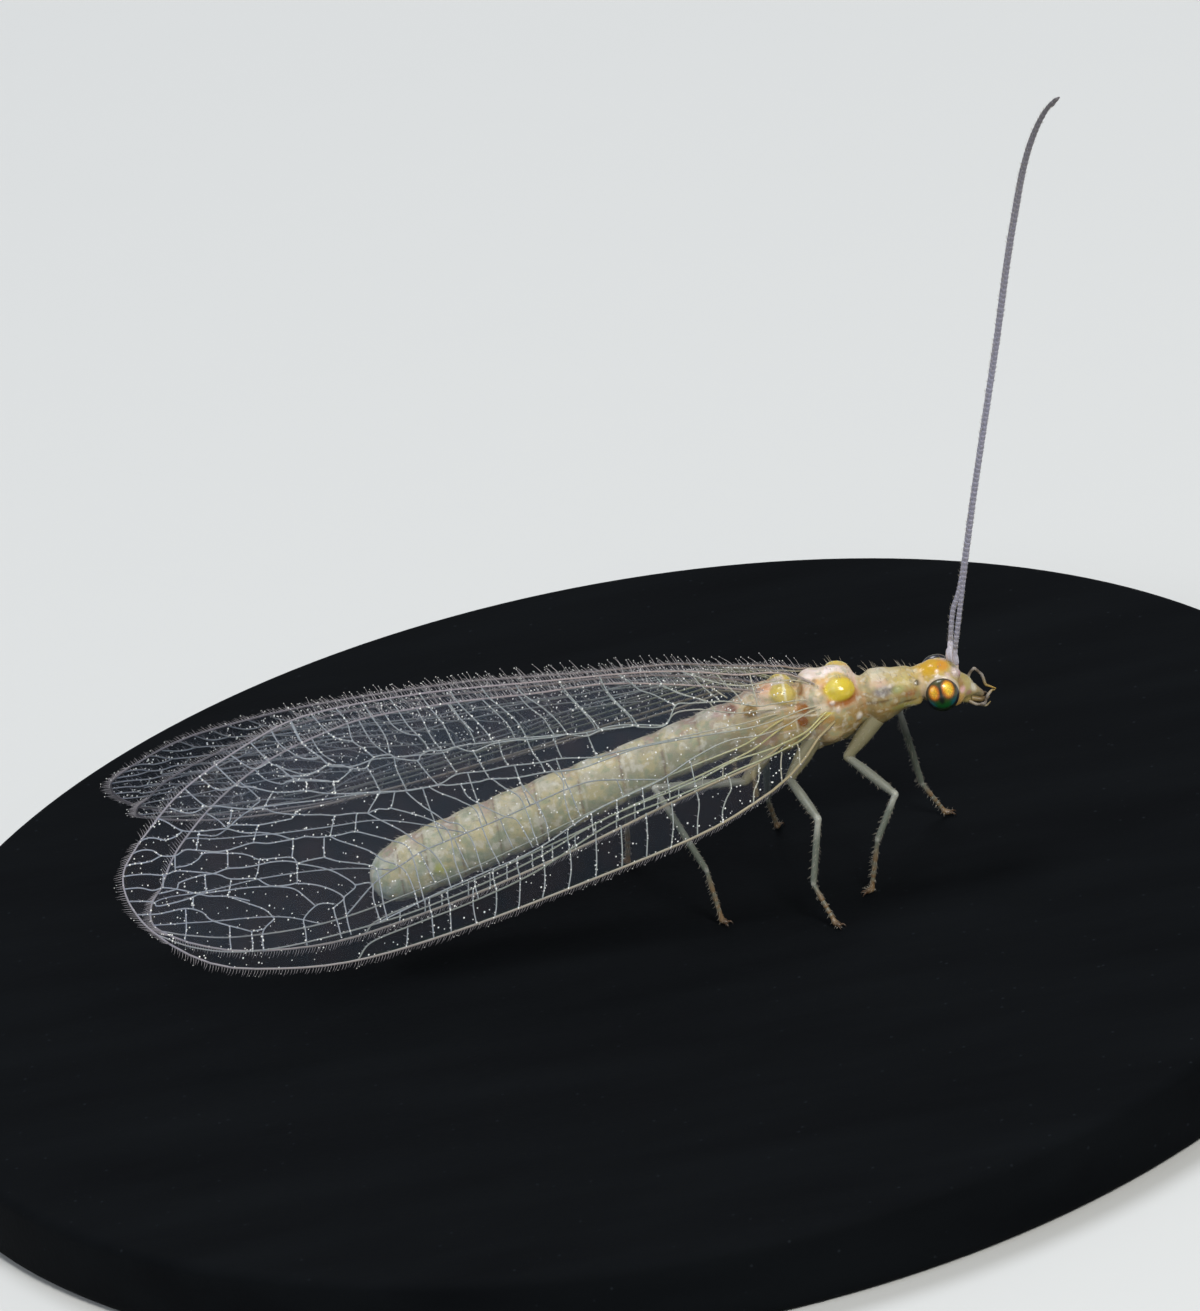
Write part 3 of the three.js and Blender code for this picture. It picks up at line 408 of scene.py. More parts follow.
# A mark: its centre and radii in the animal's millimetres, colour, gloss, softness and strength.
skin_marks = [
    ((2.93, 0.47, 3.65), (0.39, 0.35, 0.28), "bd8238", 0.7, 0.25, 0.9),
    ((2.95, 0.5, 3.47), (0.28, 0.3, 0.09), "9a5a20", 0.8, 0.4, 0.9),
    ((2.93, 0.47, 3.68), (0.3, 0.27, 0.2), "d2bc3e", 1.0, 0.18, 1.0),
    ((2.84, 0.42, 3.75), (0.12, 0.2, 0.1), "dccf70", 1.0, 0.5, 0.6),
    ((2.72, 0.05, 3.92), (0.55, 0.24, 0.12), "e0d0cc", 0.5, 0.3, 0.9),
    ((2.93, 0.24, 3.86), (0.22, 0.1, 0.09), "cfb45c", 0.6, 0.4, 0.8),
    ((3.24, 0.3, 3.72), (0.03, 0.3, 0.14), "e0b8ae", 0.5, 0.4, 0.8),
    ((2.62, 0.3, 3.83), (0.16, 0.1, 0.06), "cfa458", 0.5, 0.5, 0.8),
    ((2.5, 0.3, 3.86), (0.05, 0.06, 0.05), "8a5a3c", 0.5, 0.3, 0.85),
    ((2.18, 0.27, 3.75), (0.09, 0.16, 0.15), "7f4c1c", 0.6, 0.25, 1),
    ((2.44, 0.42, 3.74), (0.06, 0.08, 0.07), "7c4e34", 0.5, 0.4, 0.85),
    ((2.46, 0.5, 3.58), (0.2, 0.14, 0.12), "d6c8b2", 0.5, 0.4, 0.8),
    ((1.9, 0.28, 3.75), (0.26, 0.3, 0.22), "cdb95c", 0.9, 0.18, 0.95),
    ((1.92, 0.26, 3.76), (0.03, 0.24, 0.18), "ece6c4", 0.9, 0.4, 0.9),
    ((1.56, 0.12, 3.84), (0.15, 0.16, 0.12), "c98f62", 0.5, 0.4, 0.85),
    ((1.86, 0.05, 3.9), (0.2, 0.12, 0.08), "e4d4ce", 0.5, 0.4, 0.9),
    ((2.2, 0.56, 3.47), (0.42, 0.12, 0.03), "e2d8c6", 0.4, 0.5, 0.7),
    ((2.17, 0.5, 3.44), (0.14, 0.2, 0.1), "a0620e", 0.8, 0.2, 1),
    ((2.15, 0.5, 3.19), (0.11, 0.2, 0.11), "94560e", 0.8, 0.2, 1),
    ((2.3, 0.5, 3.31), (0.3, 0.2, 0.018), "e4dcc8", 0.8, 0.4, 0.9),
    ((1.86, 0.4, 3.14), (0.2, 0.2, 0.09), "c8aa5c", 0.8, 0.25, 0.9),
    ((1.86, 0.4, 3.03), (0.22, 0.2, 0.02), "e6cdb8", 0.8, 0.4, 0.85),
    ((2.04, 0.5, 3.1), (0.02, 0.2, 0.16), "e8dcc4", 0.8, 0.4, 0.85),
    ((2.62, 0.6, 3.0), (0.3, 0.2, 0.016), "e0cab0", 0.8, 0.4, 0.8),
    ((2.5, 0.6, 3.04), (0.12, 0.2, 0.05), "94683c", 0.6, 0.4, 0.75),
    ((2.45, 0.6, 3.28), (0.022, 0.12, 0.2), "e2d6c0", 0.5, 0.4, 0.8),
    ((1.98, 0.5, 3.3), (0.3, 0.12, 0.022), "ded2ba", 0.5, 0.4, 0.8),
    ((2.62, 0.62, 3.3), (0.13, 0.12, 0.03), "dfd03c", 0.7, 0.4, 0.9),
    ((1.24, 0.36, 3.53), (0.14, 0.18, 0.11), "8a6a1c", 0.8, 0.2, 1),
    ((0.86, 0.26, 3.58), (0.14, 0.2, 0.11), "82543e", 0.5, 0.25, 0.95),
    ((1.62, 0.4, 3.5), (0.22, 0.2, 0.07), "ded4c2", 0.7, 0.4, 0.85),
    ((2.55, 0.52, 3.4), (0.13, 0.16, 0.08), "d8ccb4", 0.7, 0.4, 0.85),
    ((1.72, 0.4, 3.2), (0.3, 0.2, 0.12), "c2a468", 0.6, 0.25, 0.85),
    # The next two small white spots, on the little lumps below the big lobe, are painted highlights.
    ((2.75, 0.61, 3.49), (0.045, 0.08, 0.04), "e4d8cc", 1.0, 0.5, 0.8),
    ((2.83, 0.64, 3.34), (0.045, 0.08, 0.06), "e2d4c8", 1.0, 0.5, 0.8),
    ((3.2, 0.5, 3.08), (0.06, 0.1, 0.08), "dfd8cc", 1.0, 0.5, 0.85),
    ((2.6, 0.6, 3.2), (0.22, 0.14, 0.1), "c0924a", 0.5, 0.5, 0.7),
    ((2.5, 0.5, 2.85), (0.34, 0.3, 0.25), "9c8468", 0.4, 0.5, 0.6),
    ((2.2, 0.4, 2.6), (0.2, 0.3, 0.25), "868c86", 0.4, 0.5, 0.7),
    ((1.5, 0.4, 3.25), (0.26, 0.16, 0.18), "bda976", 0.5, 0.3, 0.7),
    ((1.46, 0.42, 2.95), (0.24, 0.16, 0.14), "b89280", 0.5, 0.4, 0.6),
    ((3.72, 0.44, 3.44), (0.2, 0.18, 0.1), "7b7880", 0.4, 0.45, 0.8),
    ((3.6, 0.42, 3.26), (0.32, 0.16, 0.025), "5c4428", 0.3, 0.5, 0.75),
    ((3.85, 0.44, 3.06), (0.35, 0.2, 0.1), "94743c", 0.4, 0.5, 0.6),
    ((3.75, 0, 3.69), (0.34, 0.2, 0.07), "cdc4b4", 0.4, 0.5, 0.8),
    ((4.1, 0.28, 3.5), (0.16, 0.14, 0.1), "b4a24e", 0.4, 0.5, 0.6),
    ((3.98, 0.4, 3.4), (0.12, 0.12, 0.07), "929a58", 0.4, 0.5, 0.7),
    ((4.21, 0.38, 3.28), (0.11, 0.12, 0.06), "9c6038", 0.5, 0.5, 0.75),
    ((4.1, 0.38, 3.14), (0.22, 0.13, 0.018), "4a3a1c", 0.3, 0.5, 0.8),
    ((4.02, 0.38, 3.05), (0.24, 0.13, 0.06), "98984c", 0.4, 0.5, 0.7),
    ((3.86, 0.42, 3.5), (0.04, 0.08, 0.035), "ece2d6", 1.0, 0.5, 0.8),
    ((3.62, 0.3, 3.56), (0.2, 0.14, 0.07), "ceb0a0", 0.5, 0.5, 0.7),
    ((4.36, 0.3, 3.42), (0.06, 0.12, 0.05), "3c3c38", 1.0, 0.35, 0.85),
    ((3.33, 0.3, 3.4), (0.04, 0.4, 0.4), "ac8658", 0.3, 0.5, 0.6),
    ((4.7, 0, 3.54), (0.3, 0.3, 0.2), "c89c22", 0.9, 0.3, 0.9),
    ((4.87, 0.12, 3.58), (0.1, 0.13, 0.11), "cc8434", 0.9, 0.5, 0.6),
    # The next four small near-white spots round the eye's upper edge are painted highlights.
    ((4.75, 0.25, 3.55), (0.035, 0.06, 0.03), "f0dcc8", 1.0, 0.5, 0.8),
    ((4.53, 0.36, 3.5), (0.04, 0.08, 0.035), "ece4d4", 1.0, 0.5, 0.85),
    ((4.74, 0.38, 3.5), (0.05, 0.07, 0.03), "f0e6dc", 1.0, 0.5, 0.85),
    ((4.51, 0.4, 3.42), (0.03, 0.08, 0.03), "ece2d2", 1.0, 0.5, 0.8),
    ((4.92, 0.33, 3.46), (0.07, 0.09, 0.05), "d4bcc4", 0.8, 0.5, 0.7),
    ((4.78, 0.46, 3.19), (0.37, 0.14, 0.38), "cdbfae", 0.6, 0.12, 0.85),
    ((4.44, 0.3, 3.3), (0.06, 0.3, 0.26), "d8bea4", 0.7, 0.5, 0.6),
    ((5.0, 0.3, 2.95), (0.17, 0.16, 0.17), "bb9050", 0.5, 0.5, 0.8),
    ((5.3, 0.02, 3.1), (0.2, 0.2, 0.12), "b2a876", 0.9, 0.5, 0.8),
    ((5.36, 0.1, 3.02), (0.07, 0.08, 0.08), "d0ccc0", 0.9, 0.5, 0.7),
    ((5.16, 0.28, 3.1), (0.06, 0.1, 0.06), "dcb0b4", 1.0, 0.5, 0.85),
    ((5.26, 0.2, 2.98), (0.06, 0.08, 0.05), "a87070", 0.7, 0.5, 0.6),
    ((5.08, 0.155, 3.42), (0.13, 0.13, 0.1), "c4b4bc", 0.7, 0.5, 0.8),
    ((5.16, 0.17, 3.38), (0.04, 0.08, 0.06), "a8747c", 0.6, 0.5, 0.7),
    ((5.13, 0.2, 3.2), (0.07, 0.12, 0.1), "96693c", 0.5, 0.5, 0.7),
    ((5.4, 0.12, 2.86), (0.12, 0.1, 0.05), "4a4432", 0.6, 0.4, 0.8),
    ((-0.1, 0.15, 3.3), (0.2, 0.14, 0.06), "8a5a4e", 0.3, 0.5, 0.6),
    ((0.54, 0.05, 3.5), (0.12, 0.3, 0.07), "a67e78", 0.3, 0.5, 0.7),
    ((-4.91, 0.5, 1.66), (0.15, 0.12, 0.12), "b8bd5c", 0.3, 0.5, 0.8),
    ((-6.1, 0.2, 1.4), (0.25, 0.4, 0.4), "a8b8b4", 0.4, 0.5, 0.6),
]
# Each segment of the abdomen has a brown seam with a pale line before it, and is redder behind it.
for edge in segment_edges[1:]:
    edge_height = abdomen_height - abdomen_slope * (abdomen_root - edge)
    skin_marks.append(((edge, 0, edge_height), (0.02, 2, 2), "7d6858", 0.3, 0.5, 0.7))
    skin_marks.append(((edge + 0.07, 0, edge_height), (0.015, 2, 2), "d2d0bf", 0.5, 0.5, 0.5))
    skin_marks.append(((edge - 0.14, 0, edge_height + 0.5), (0.16, 0.3, 0.14), "a3847a", 0.3, 0.6, 0.7))
    skin_marks.append(((edge + 0.24, 0, edge_height + 0.52), (0.16, 0.3, 0.12), "cccabb", 0.4, 0.6, 0.7))
skin_colours = paint(skin, skin_places, skin_base, skin_marks)
# The glossy plates and lobes are plain, and the soft skin is marbled.
marble_places, marble_shares = [0.7, 1.2, 3.3, 3.5, 4.3, 4.6], [1, 0.8, 0.8, 0.55, 0.55, 0.15]
marbling = skin.data.attributes.new("marble", "FLOAT", "POINT")
marble_share = np.interp([place.x for place in skin_places], marble_places, marble_shares)
marble_share *= np.clip((0.95 - skin_colours[:, 3]) / 0.5, 0, 1)
marbling.data.foreach_set("value", marble_share.astype(np.float32))

chitin, tree = new_material("soft waxy chitin")
place = add_node(tree, "ShaderNodeTexCoord").outputs["Object"]
tint = add_node(tree, "ShaderNodeAttribute", attribute_name="tint")
marble = add_node(tree, "ShaderNodeAttribute", attribute_name="marble")
# Fat and blood show through the thin skin as patches of 0.3 mm and clouds of 0.15 mm, and its grain is
# 0.03 mm wide.
patches = add_node(tree, "ShaderNodeTexNoise", {
    "Vector": place, "Scale": 3300, "Detail": 4, "Distortion": 0.6})
clouds = add_node(tree, "ShaderNodeTexNoise", {"Vector": place, "Scale": 6500, "Detail": 4})
grains = add_node(tree, "ShaderNodeTexNoise", {"Vector": place, "Scale": 33000, "Detail": 3})
tone = tint.outputs["Color"]
for field, low, high, code in (
    (patches, 0.48, 0.6, "c2b688"), (clouds, 0.47, 0.37, "8c9a7e"), (clouds, 0.54, 0.64, "d4d3c6"),
):
    share = add_node(tree, "ShaderNodeMapRange", {
        "Value": field.outputs["Fac"], "From Min": low, "From Max": high, "To Min": 0, "To Max": 0.62})
    share = add_node(tree, "ShaderNodeMath", {
        0: share.outputs["Result"], 1: marble.outputs["Fac"]}, operation="MULTIPLY")
    tone = mix_tones(tree, share.outputs["Value"], tone, linear(code))
rough = add_node(tree, "ShaderNodeMapRange", {"Value": tint.outputs["Alpha"], "To Min": 0.62, "To Max": 0.12})
relief = add_node(tree, "ShaderNodeMath", {
    0: grains.outputs["Fac"], 1: clouds.outputs["Fac"]}, operation="ADD")
bump = add_node(tree, "ShaderNodeBump", {
    "Height": relief.outputs["Value"], "Strength": 0.35, "Distance": 0.00001})
add_surface(tree, {
    "Base Color": tone, "Roughness": rough.outputs["Result"], "Normal": bump.outputs["Normal"], "IOR": 1.5,
    "Subsurface Weight": 0.2, "Subsurface Radius": (1.0, 0.7, 0.4), "Subsurface Scale": 0.00003})
skin.data.materials.append(chitin)
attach(skin, "root")
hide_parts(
    "head", "prothorax", "mesothorax", "metathorax", "abdomen_front", "abdomen_middle", "abdomen_rear",
)

# Eyes: half globes of glassy facets over coloured pigment. Two gold fields lie side by side over an
# emerald lower half that turns teal at both ends. A dark bar parts them, and the rim is dark too.
eye_middle = Vector((4.77, 0.52, 3.185))
eye_radii = (0.312, 0.205, 0.322)
gaze_rise = math.radians(26)


def eye_base(x, y, z):
    """Navy at the rim, olive on the upper face and emerald and teal on the lower, without the fields."""
    out = (np.abs(y) - eye_middle.y) / eye_radii[1]
    up = (z - eye_middle.z) / eye_radii[2]
    rim = 1 - rise(out * math.cos(gaze_rise) + up * math.sin(gaze_rise), 0.4, 0.54)
    upper = rise(up, -0.4, 0.2)
    aside = rise(np.abs((x - eye_middle.x) / eye_radii[0] + 0.05), 0.3, 0.7)
    lower = np.array(linear("0c5c26")) * (1 - aside) + np.array(linear("0a6a78")) * aside
    face = lower * (1 - upper) + np.array(linear("4a4a1c")) * upper
    under = 1 - rise(up, -0.75, -0.35)
    rim_tone = np.array(linear("1a1c2c")) * (1 - under) + np.array(linear("24341c")) * under
    return face * (1 - rim) + rim_tone * rim


def on_eye(*shares):
    """A place on the globe from its shares of the radii: along the body, outward and up."""
    return tuple(middle + share * radius for middle, share, radius in zip(eye_middle, shares, eye_radii))


eye_marks = [
    (on_eye(-0.48, 0.72, 0.42), (0.1, 0.15, 0.135), "cf5a18", 1, 0.3, 0.95),
    (on_eye(0.36, 0.66, 0.5), (0.112, 0.15, 0.16), "d8641c", 1, 0.3, 0.95),
    (on_eye(-0.5, 0.72, 0.44), (0.08, 0.13, 0.115), "f4a816", 1, 0.35, 1),
    (on_eye(0.38, 0.66, 0.52), (0.094, 0.13, 0.14), "fabc18", 1, 0.35, 1),
    (on_eye(0.4, 0.64, 0.5), (0.055, 0.1, 0.09), "ffd93a", 1, 0.5, 1),
    (on_eye(-0.5, 0.68, 0.46), (0.045, 0.1, 0.08), "ffc62c", 1, 0.5, 0.9),
    (on_eye(-0.1, 0.88, 0.4), (0.022, 0.2, 0.2), "20241a", 1, 0.5, 0.97),
    (on_eye(-0.1, 0.97, -0.02), (0.05, 0.2, 0.075), "0b1a18", 1, 0.5, 0.92),
]
glass, tree = new_material("faceted eye")
place = add_node(tree, "ShaderNodeTexCoord").outputs["Object"]
tint = add_node(tree, "ShaderNodeAttribute", attribute_name="tint")
# Real facets are 0.02 mm wide, and are drawn at that size.
facets = add_node(tree, "ShaderNodeTexVoronoi", {"Vector": place, "Scale": 45000})
bump = add_node(tree, "ShaderNodeBump", {
    "Height": facets.outputs["Distance"], "Strength": 0.25, "Distance": 0.000004}, invert=True)
edge = add_node(tree, "ShaderNodeMapRange", {
    "Value": facets.outputs["Distance"], "From Min": 0.35, "From Max": 0.7, "To Min": 0, "To Max": 0.35})
colour = mix_tones(tree, edge.outputs["Result"], tint.outputs["Color"], linear("20180c"))
add_surface(tree, {
    "Base Color": colour, "Roughness": 0.4, "Metallic": 0.25, "IOR": 1.55, "Normal": bump.outputs["Normal"],
    "Coat Weight": 0.6, "Coat Roughness": 0.05})
for side_name, side in (("right", -1), ("left", 1)):
    bm = bmesh.new()
    globe = Matrix.Translation((eye_middle.x, side * eye_middle.y, eye_middle.z))
    bmesh.ops.create_icosphere(bm, subdivisions=6, radius=1, matrix=globe @ Matrix.Diagonal((*eye_radii, 1)))
    places = [v.co.copy() for v in bm.verts]
    eye = settle(bm, f"faceted_eye_{side_name}")
    paint(eye, places, eye_base, eye_marks)
    eye.data.materials.append(glass)
    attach(eye, "root")
    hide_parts(f"eye_{side_name}")


# Mouthparts: two dark hooked jaws under the lip, and two pairs of jointed feelers of pale chitin,
# each joint a small cone with a swollen end, tipped in yellow brown.
def strands(name, lines, resolution):
    """Round threads, closed at both ends, as one piece. A line's points are (place, radius, tint)."""
    curve = bpy.data.curves.new(name, "CURVE")
    curve.dimensions = "3D"
    curve.bevel_depth = 1
    curve.bevel_resolution = resolution
    for line in lines:
        spline = curve.splines.new("POLY")
        spline.points.add(len(line) - 1)
        spline.points.foreach_set("co", [part for place, _, _ in line for part in (*place, 1)])
        spline.points.foreach_set("radius", [radius for _, radius, _ in line])
    drawn = bpy.data.objects.new(name, curve)
    bpy.context.scene.collection.objects.link(drawn)
    mesh = bpy.data.meshes.new_from_object(drawn.evaluated_get(bpy.context.evaluated_depsgraph_get()))
    bpy.data.objects.remove(drawn)
    bm = bmesh.new()
    bm.from_mesh(mesh)
    bmesh.ops.holes_fill(bm, edges=[e for e in bm.edges if e.is_boundary], sides=0)
    bmesh.ops.translate(bm, verts=bm.verts, vec=animal_shift)
    bmesh.ops.scale(bm, verts=bm.verts, vec=(MM, MM, MM))
    bm.to_mesh(mesh)
    bm.free()
    mesh.name = name
    mesh.shade_smooth()
    tints = np.array([colour for line in lines for _, _, colour in line], dtype=np.float32)
    sides = len(mesh.vertices) // len(tints)
    tint = mesh.color_attributes.new("tint", "FLOAT_COLOR", "POINT")
    tint.data.foreach_set("color", np.repeat(tints, sides, axis=0).ravel())
    piece = bpy.data.objects.new(name, mesh)
    bpy.context.scene.collection.objects.link(piece)
    return piece


def jointed(stops, step):
    """Points along straight lengths with corners cut round. A stop is (place, radius, hex colour)."""
    corner_cuts = 2
    points = [np.array((*place, radius, *linear(code))) for place, radius, code in stops]
    filled = [points[0]]
    for start, end in zip(points, points[1:]):
        parts = max(1, round(float(np.linalg.norm(end[:3] - start[:3])) / step))
        filled += [start + (end - start) * part / parts for part in range(1, parts + 1)]
    for _ in range(corner_cuts):
        cut = [filled[0]]
        for start, end in zip(filled, filled[1:]):
            cut += [start * 0.75 + end * 0.25, start * 0.25 + end * 0.75]
        filled = cut + [filled[-1]]
    return [(tuple(p[:3]), float(p[3]), tuple(p[4:])) for p in filled]


def limb_material(name, freckle, relief_depth):
    """Thin chitin that takes its colour from the attribute, with fine freckles 0.02 mm wide."""
    material, tree = new_material(name)
    place = add_node(tree, "ShaderNodeTexCoord").outputs["Object"]
    tint = add_node(tree, "ShaderNodeAttribute", attribute_name="tint")
    spots = add_node(tree, "ShaderNodeTexNoise", {"Vector": place, "Scale": 42000, "Detail": 3})
    share = add_node(tree, "ShaderNodeMapRange", {
        "Value": spots.outputs["Fac"], "From Min": 0.48, "From Max": 0.75, "To Min": 0, "To Max": freckle})
    colour = mix_tones(tree, share.outputs["Result"], tint.outputs["Color"], linear("5e5a4e"))
    bump = add_node(tree, "ShaderNodeBump", {
        "Height": spots.outputs["Fac"], "Strength": 0.4, "Distance": relief_depth})
    add_surface(tree, {
        "Base Color": colour, "Roughness": 0.42, "IOR": 1.53, "Normal": bump.outputs["Normal"],
        "Subsurface Weight": 0.25, "Subsurface Radius": (1.0, 0.8, 0.5), "Subsurface Scale": 0.00005})
    return material


def mirrored(stops):
    """The same stops on the other side of the body."""
    return [((x, -y, z), *rest) for (x, y, z), *rest in stops]


jaw = [
    ((5.3, -0.14, 2.82), 0.055, "8a7648"), ((5.46, -0.15, 2.76), 0.05, "6b5732"),
    ((5.58, -0.08, 2.75), 0.03, "3a2a18"), ((5.6, -0.01, 2.78), 0.008, "20150c"),
]
near_palp = [
    ((5.24, -0.2, 2.8), 0.034, "8c7c60"), ((5.36, -0.24, 2.72), 0.03, "90887c"),
    ((5.42, -0.24, 2.71), 0.024, "544838"), ((5.52, -0.24, 2.71), 0.032, "908a84"),
    ((5.55, -0.23, 2.77), 0.024, "544838"), ((5.6, -0.22, 2.86), 0.03, "908a84"),
    ((5.69, -0.17, 2.92), 0.024, "8f7a44"), ((5.75, -0.15, 2.9), 0.008, "8f7a44"),
]
far_palp = [
    ((5.2, 0.2, 2.85), 0.034, "8c7c60"), ((5.32, 0.26, 3.08), 0.03, "90887c"),
    ((5.38, 0.27, 3.16), 0.024, "544838"), ((5.45, 0.29, 3.2), 0.03, "908a84"),
    ((5.5, 0.285, 3.14), 0.024, "544838"), ((5.57, 0.28, 3.04), 0.03, "908a84"),
    ((5.6, 0.25, 2.84), 0.028, "8f7a44"), ((5.78, 0.22, 2.74), 0.008, "a8862c"),
]
lip_palp = [
    ((5.34, -0.08, 2.76), 0.028, "8a7a58"), ((5.42, -0.12, 2.64), 0.026, "7c745c"),
    ((5.54, -0.12, 2.6), 0.024, "7c745c"), ((5.63, -0.1, 2.66), 0.008, "8f7a44"),
]
mouth_routes = (jaw, mirrored(jaw), near_palp, far_palp, lip_palp, mirrored(lip_palp))
mouthparts = strands("mouthparts", [jointed(stops, 0.05) for stops in mouth_routes], 4)
mouthparts.data.materials.append(limb_material("mouthpart chitin", 0.3, 0.000004))
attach(mouthparts, "root")

# Antennae: a swollen first joint, a small second one and a whip of a hundred short rings, each with
# a pale waist, so the whip looks finely beaded. They are grey lilac and darken towards the tip.
whip_right = [
    (5.13, -0.15, 3.58), (5.14, -0.24, 3.85), (5.22, -0.33, 4.2), (5.53, -0.43, 5.37), (5.98, -0.55, 7.0),
    (6.46, -0.68, 8.63), (6.94, -0.8, 10.25), (7.34, -0.9, 11.67), (7.65, -0.98, 12.68), (7.95, -1.05, 13.59),
    (8.24, -1.1, 14.24), (8.54, -1.13, 14.69), (8.76, -1.15, 14.86),
]
whip_left = [
    (5.04, 0.15, 3.48), (5.07, 0.22, 3.66), (5.13, 0.33, 3.9), (5.26, 0.4, 4.39), (5.51, 0.43, 4.95),
    (5.98, 0.54, 6.47), (6.46, 0.65, 7.98), (6.94, 0.77, 9.48), (7.34, 0.87, 10.81), (7.65, 0.94, 11.75),
    (7.95, 1.0, 12.59), (8.24, 1.05, 13.19), (8.54, 1.09, 13.61), (8.76, 1.1, 13.76),
]
ring_length, first_ring = 0.098, 0.4
whip_radius, whip_taper = 0.048, 0.01
# Across a ring: the share of its length, its swelling and its shade.
ring_profile = [(0, 0.84, 1.35), (0.2, 0.98, 1.0), (0.75, 1.06, 0.85), (0.93, 0.98, 0.95)]
whip_colours = [(0, "a8a2a0"), (0.06, "9695a4"), (0.5, "8c8c9e"), (0.8, "76747f"), (1, "4c494e")]


def smooth_path(points, per_span=12):
    """A smooth curve through the points, and the length along it at each of its own points."""
    ends = [np.array(p, dtype=float) for p in points]
    padded = [2 * ends[0] - ends[1]] + ends + [2 * ends[-1] - ends[-2]]
    path = []
    for a, b, c, d in zip(padded, padded[1:], padded[2:], padded[3:]):
        for part in range(per_span):
            t = part / per_span
            path.append(0.5 * (2 * b + (c - a) * t + (2 * a - 5 * b + 4 * c - d) * t * t
                               + (3 * b - a - 3 * c + d) * t ** 3))
    path.append(ends[-1])
    lengths = [0.0]
    for start, end in zip(path, path[1:]):
        lengths.append(lengths[-1] + float(np.linalg.norm(end - start)))
    return path, lengths


def along_path(path, lengths, distance):
    """The point of a smooth path at a distance from its start."""
    high = min(max(bisect.bisect_left(lengths, distance), 1), len(lengths) - 1)
    span = lengths[high] - lengths[high - 1]
    share = (distance - lengths[high - 1]) / span if span else 0
    return path[high - 1] + (path[high] - path[high - 1]) * share


# The first joint's swelling, as places along the whip and radii.
scapes = {
    "right": [(0, 0.05), (0.03, 0.057), (0.12, 0.06), (0.2, 0.055), (0.25, 0.042), (0.28, 0.05),
              (0.33, 0.053), (0.38, 0.044)],
    "left": [(0, 0.05), (0.03, 0.075), (0.12, 0.09), (0.22, 0.08), (0.28, 0.05), (0.31, 0.055),
             (0.35, 0.055), (0.39, 0.044)],
}
horn = limb_material("grey lilac chitin", 0.35, 0.000003)
whips = {}
for side_name, stops in (("right", whip_right), ("left", whip_left)):
    path, lengths = smooth_path(stops)
    whips[side_name] = (path, lengths)
    line = []
    for distance, radius in scapes[side_name]:
        line.append((tuple(along_path(path, lengths, distance)), radius, linear("ccc8d4")))
    distance = first_ring
    while distance + ring_length < lengths[-1]:
        share = distance / lengths[-1]
        radius = whip_radius - whip_taper * share
        colour = blend_colours(whip_colours, share)
        for part, swell, shade in ring_profile:
            at = along_path(path, lengths, distance + part * ring_length)
            line.append((tuple(at), radius * swell, (*(colour[:3] * shade), 1)))
        distance += ring_length
    line.append((tuple(path[-1] + np.array((0.03, 0, 0.01))), 0.012, linear("5e5a60")))
    whip = strands(f"ringed_antenna_{side_name}", [line], 4)
    whip.data.materials.append(horn)
    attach(whip, "root")
    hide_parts(f"antenna_{side_name}")

# Legs: hip, a small ring joint, thigh, shin and a foot of five joints with two claws. The thin
# chitin is grey green and half clear, paler at the knee, and turns brown towards the claws.
hip, ring_joint, thigh, knee_pale = "858062", "88866e", "7a7e74", "a2a69e"
shin, foot_tone, claw_tone = "646c62", "7a6448", "4a3620"
# The four upper joints of the foot, as shares of its length. The first is nearly half of it.
foot_joints = [(0.02, 0.42), (0.43, 0.6), (0.61, 0.74), (0.75, 0.85)]
# A claw's points ahead of, beside and below the toe, with their radii and tones.
claw_points = [
    (0, 0, 0, 0.02, claw_tone), (0.05, 0.04, 0, 0.016, "4a3018"),
    (0.09, 0.05, 0.03, 0.009, "2c1c0e"), (0.1, 0.04, 0.06, 0.003, "20140a"),
]
# Each route runs from the hip by the ring joint, the knee and the ankle to the toe.
leg_routes = {
    "fore_right": (
        (3.5, -0.3, 2.86), (2.84, -0.42, 2.26), (3.57, -1.1, 1.65), (3.09, -1.3, 0.9), (2.82, -1.34, -0.06)),
    "fore_left": (
        (3.5, 0.3, 2.86), (2.9, 0.46, 2.26), (3.96, 1.0, 2.3), (4.13, 1.22, 0.6), (4.46, 1.2, -0.06)),
    "mid_right": (
        (2.3, -0.4, 2.75), (1.71, -0.62, 2.14), (2.08, -1.75, 1.78), (1.77, -2.1, 0.66),
        (2.03, -2.39, -0.06)),
    "mid_left": (
        (2.3, 0.4, 2.75), (1.71, 0.62, 2.14), (1.4, 1.5, 1.78), (1.27, 1.78, 0.6), (1.35, 1.96, -0.06)),
    "hind_right": (
        (1.5, -0.32, 2.75), (0.9, -0.5, 2.2), (-0.76, -0.9, 2.62), (-0.11, -1.3, 0.95), (0.0, -1.41, -0.06)),
    "hind_left": (
        (1.5, 0.32, 2.75), (0.9, 0.5, 2.2), (-0.8, 0.95, 2.6), (-1.38, 1.5, 0.8), (-1.5, 1.7, -0.06)),
}


def between(start, end, share):
    """The point at a share of the way from start to end."""
    return tuple(a + (b - a) * share for a, b in zip(start, end))


def beside(point, other, reach):
    """The point that lies a reach in millimetres from a point towards another."""
    gap = (Vector(other) - Vector(point)).length
    return between(point, other, reach / gap)


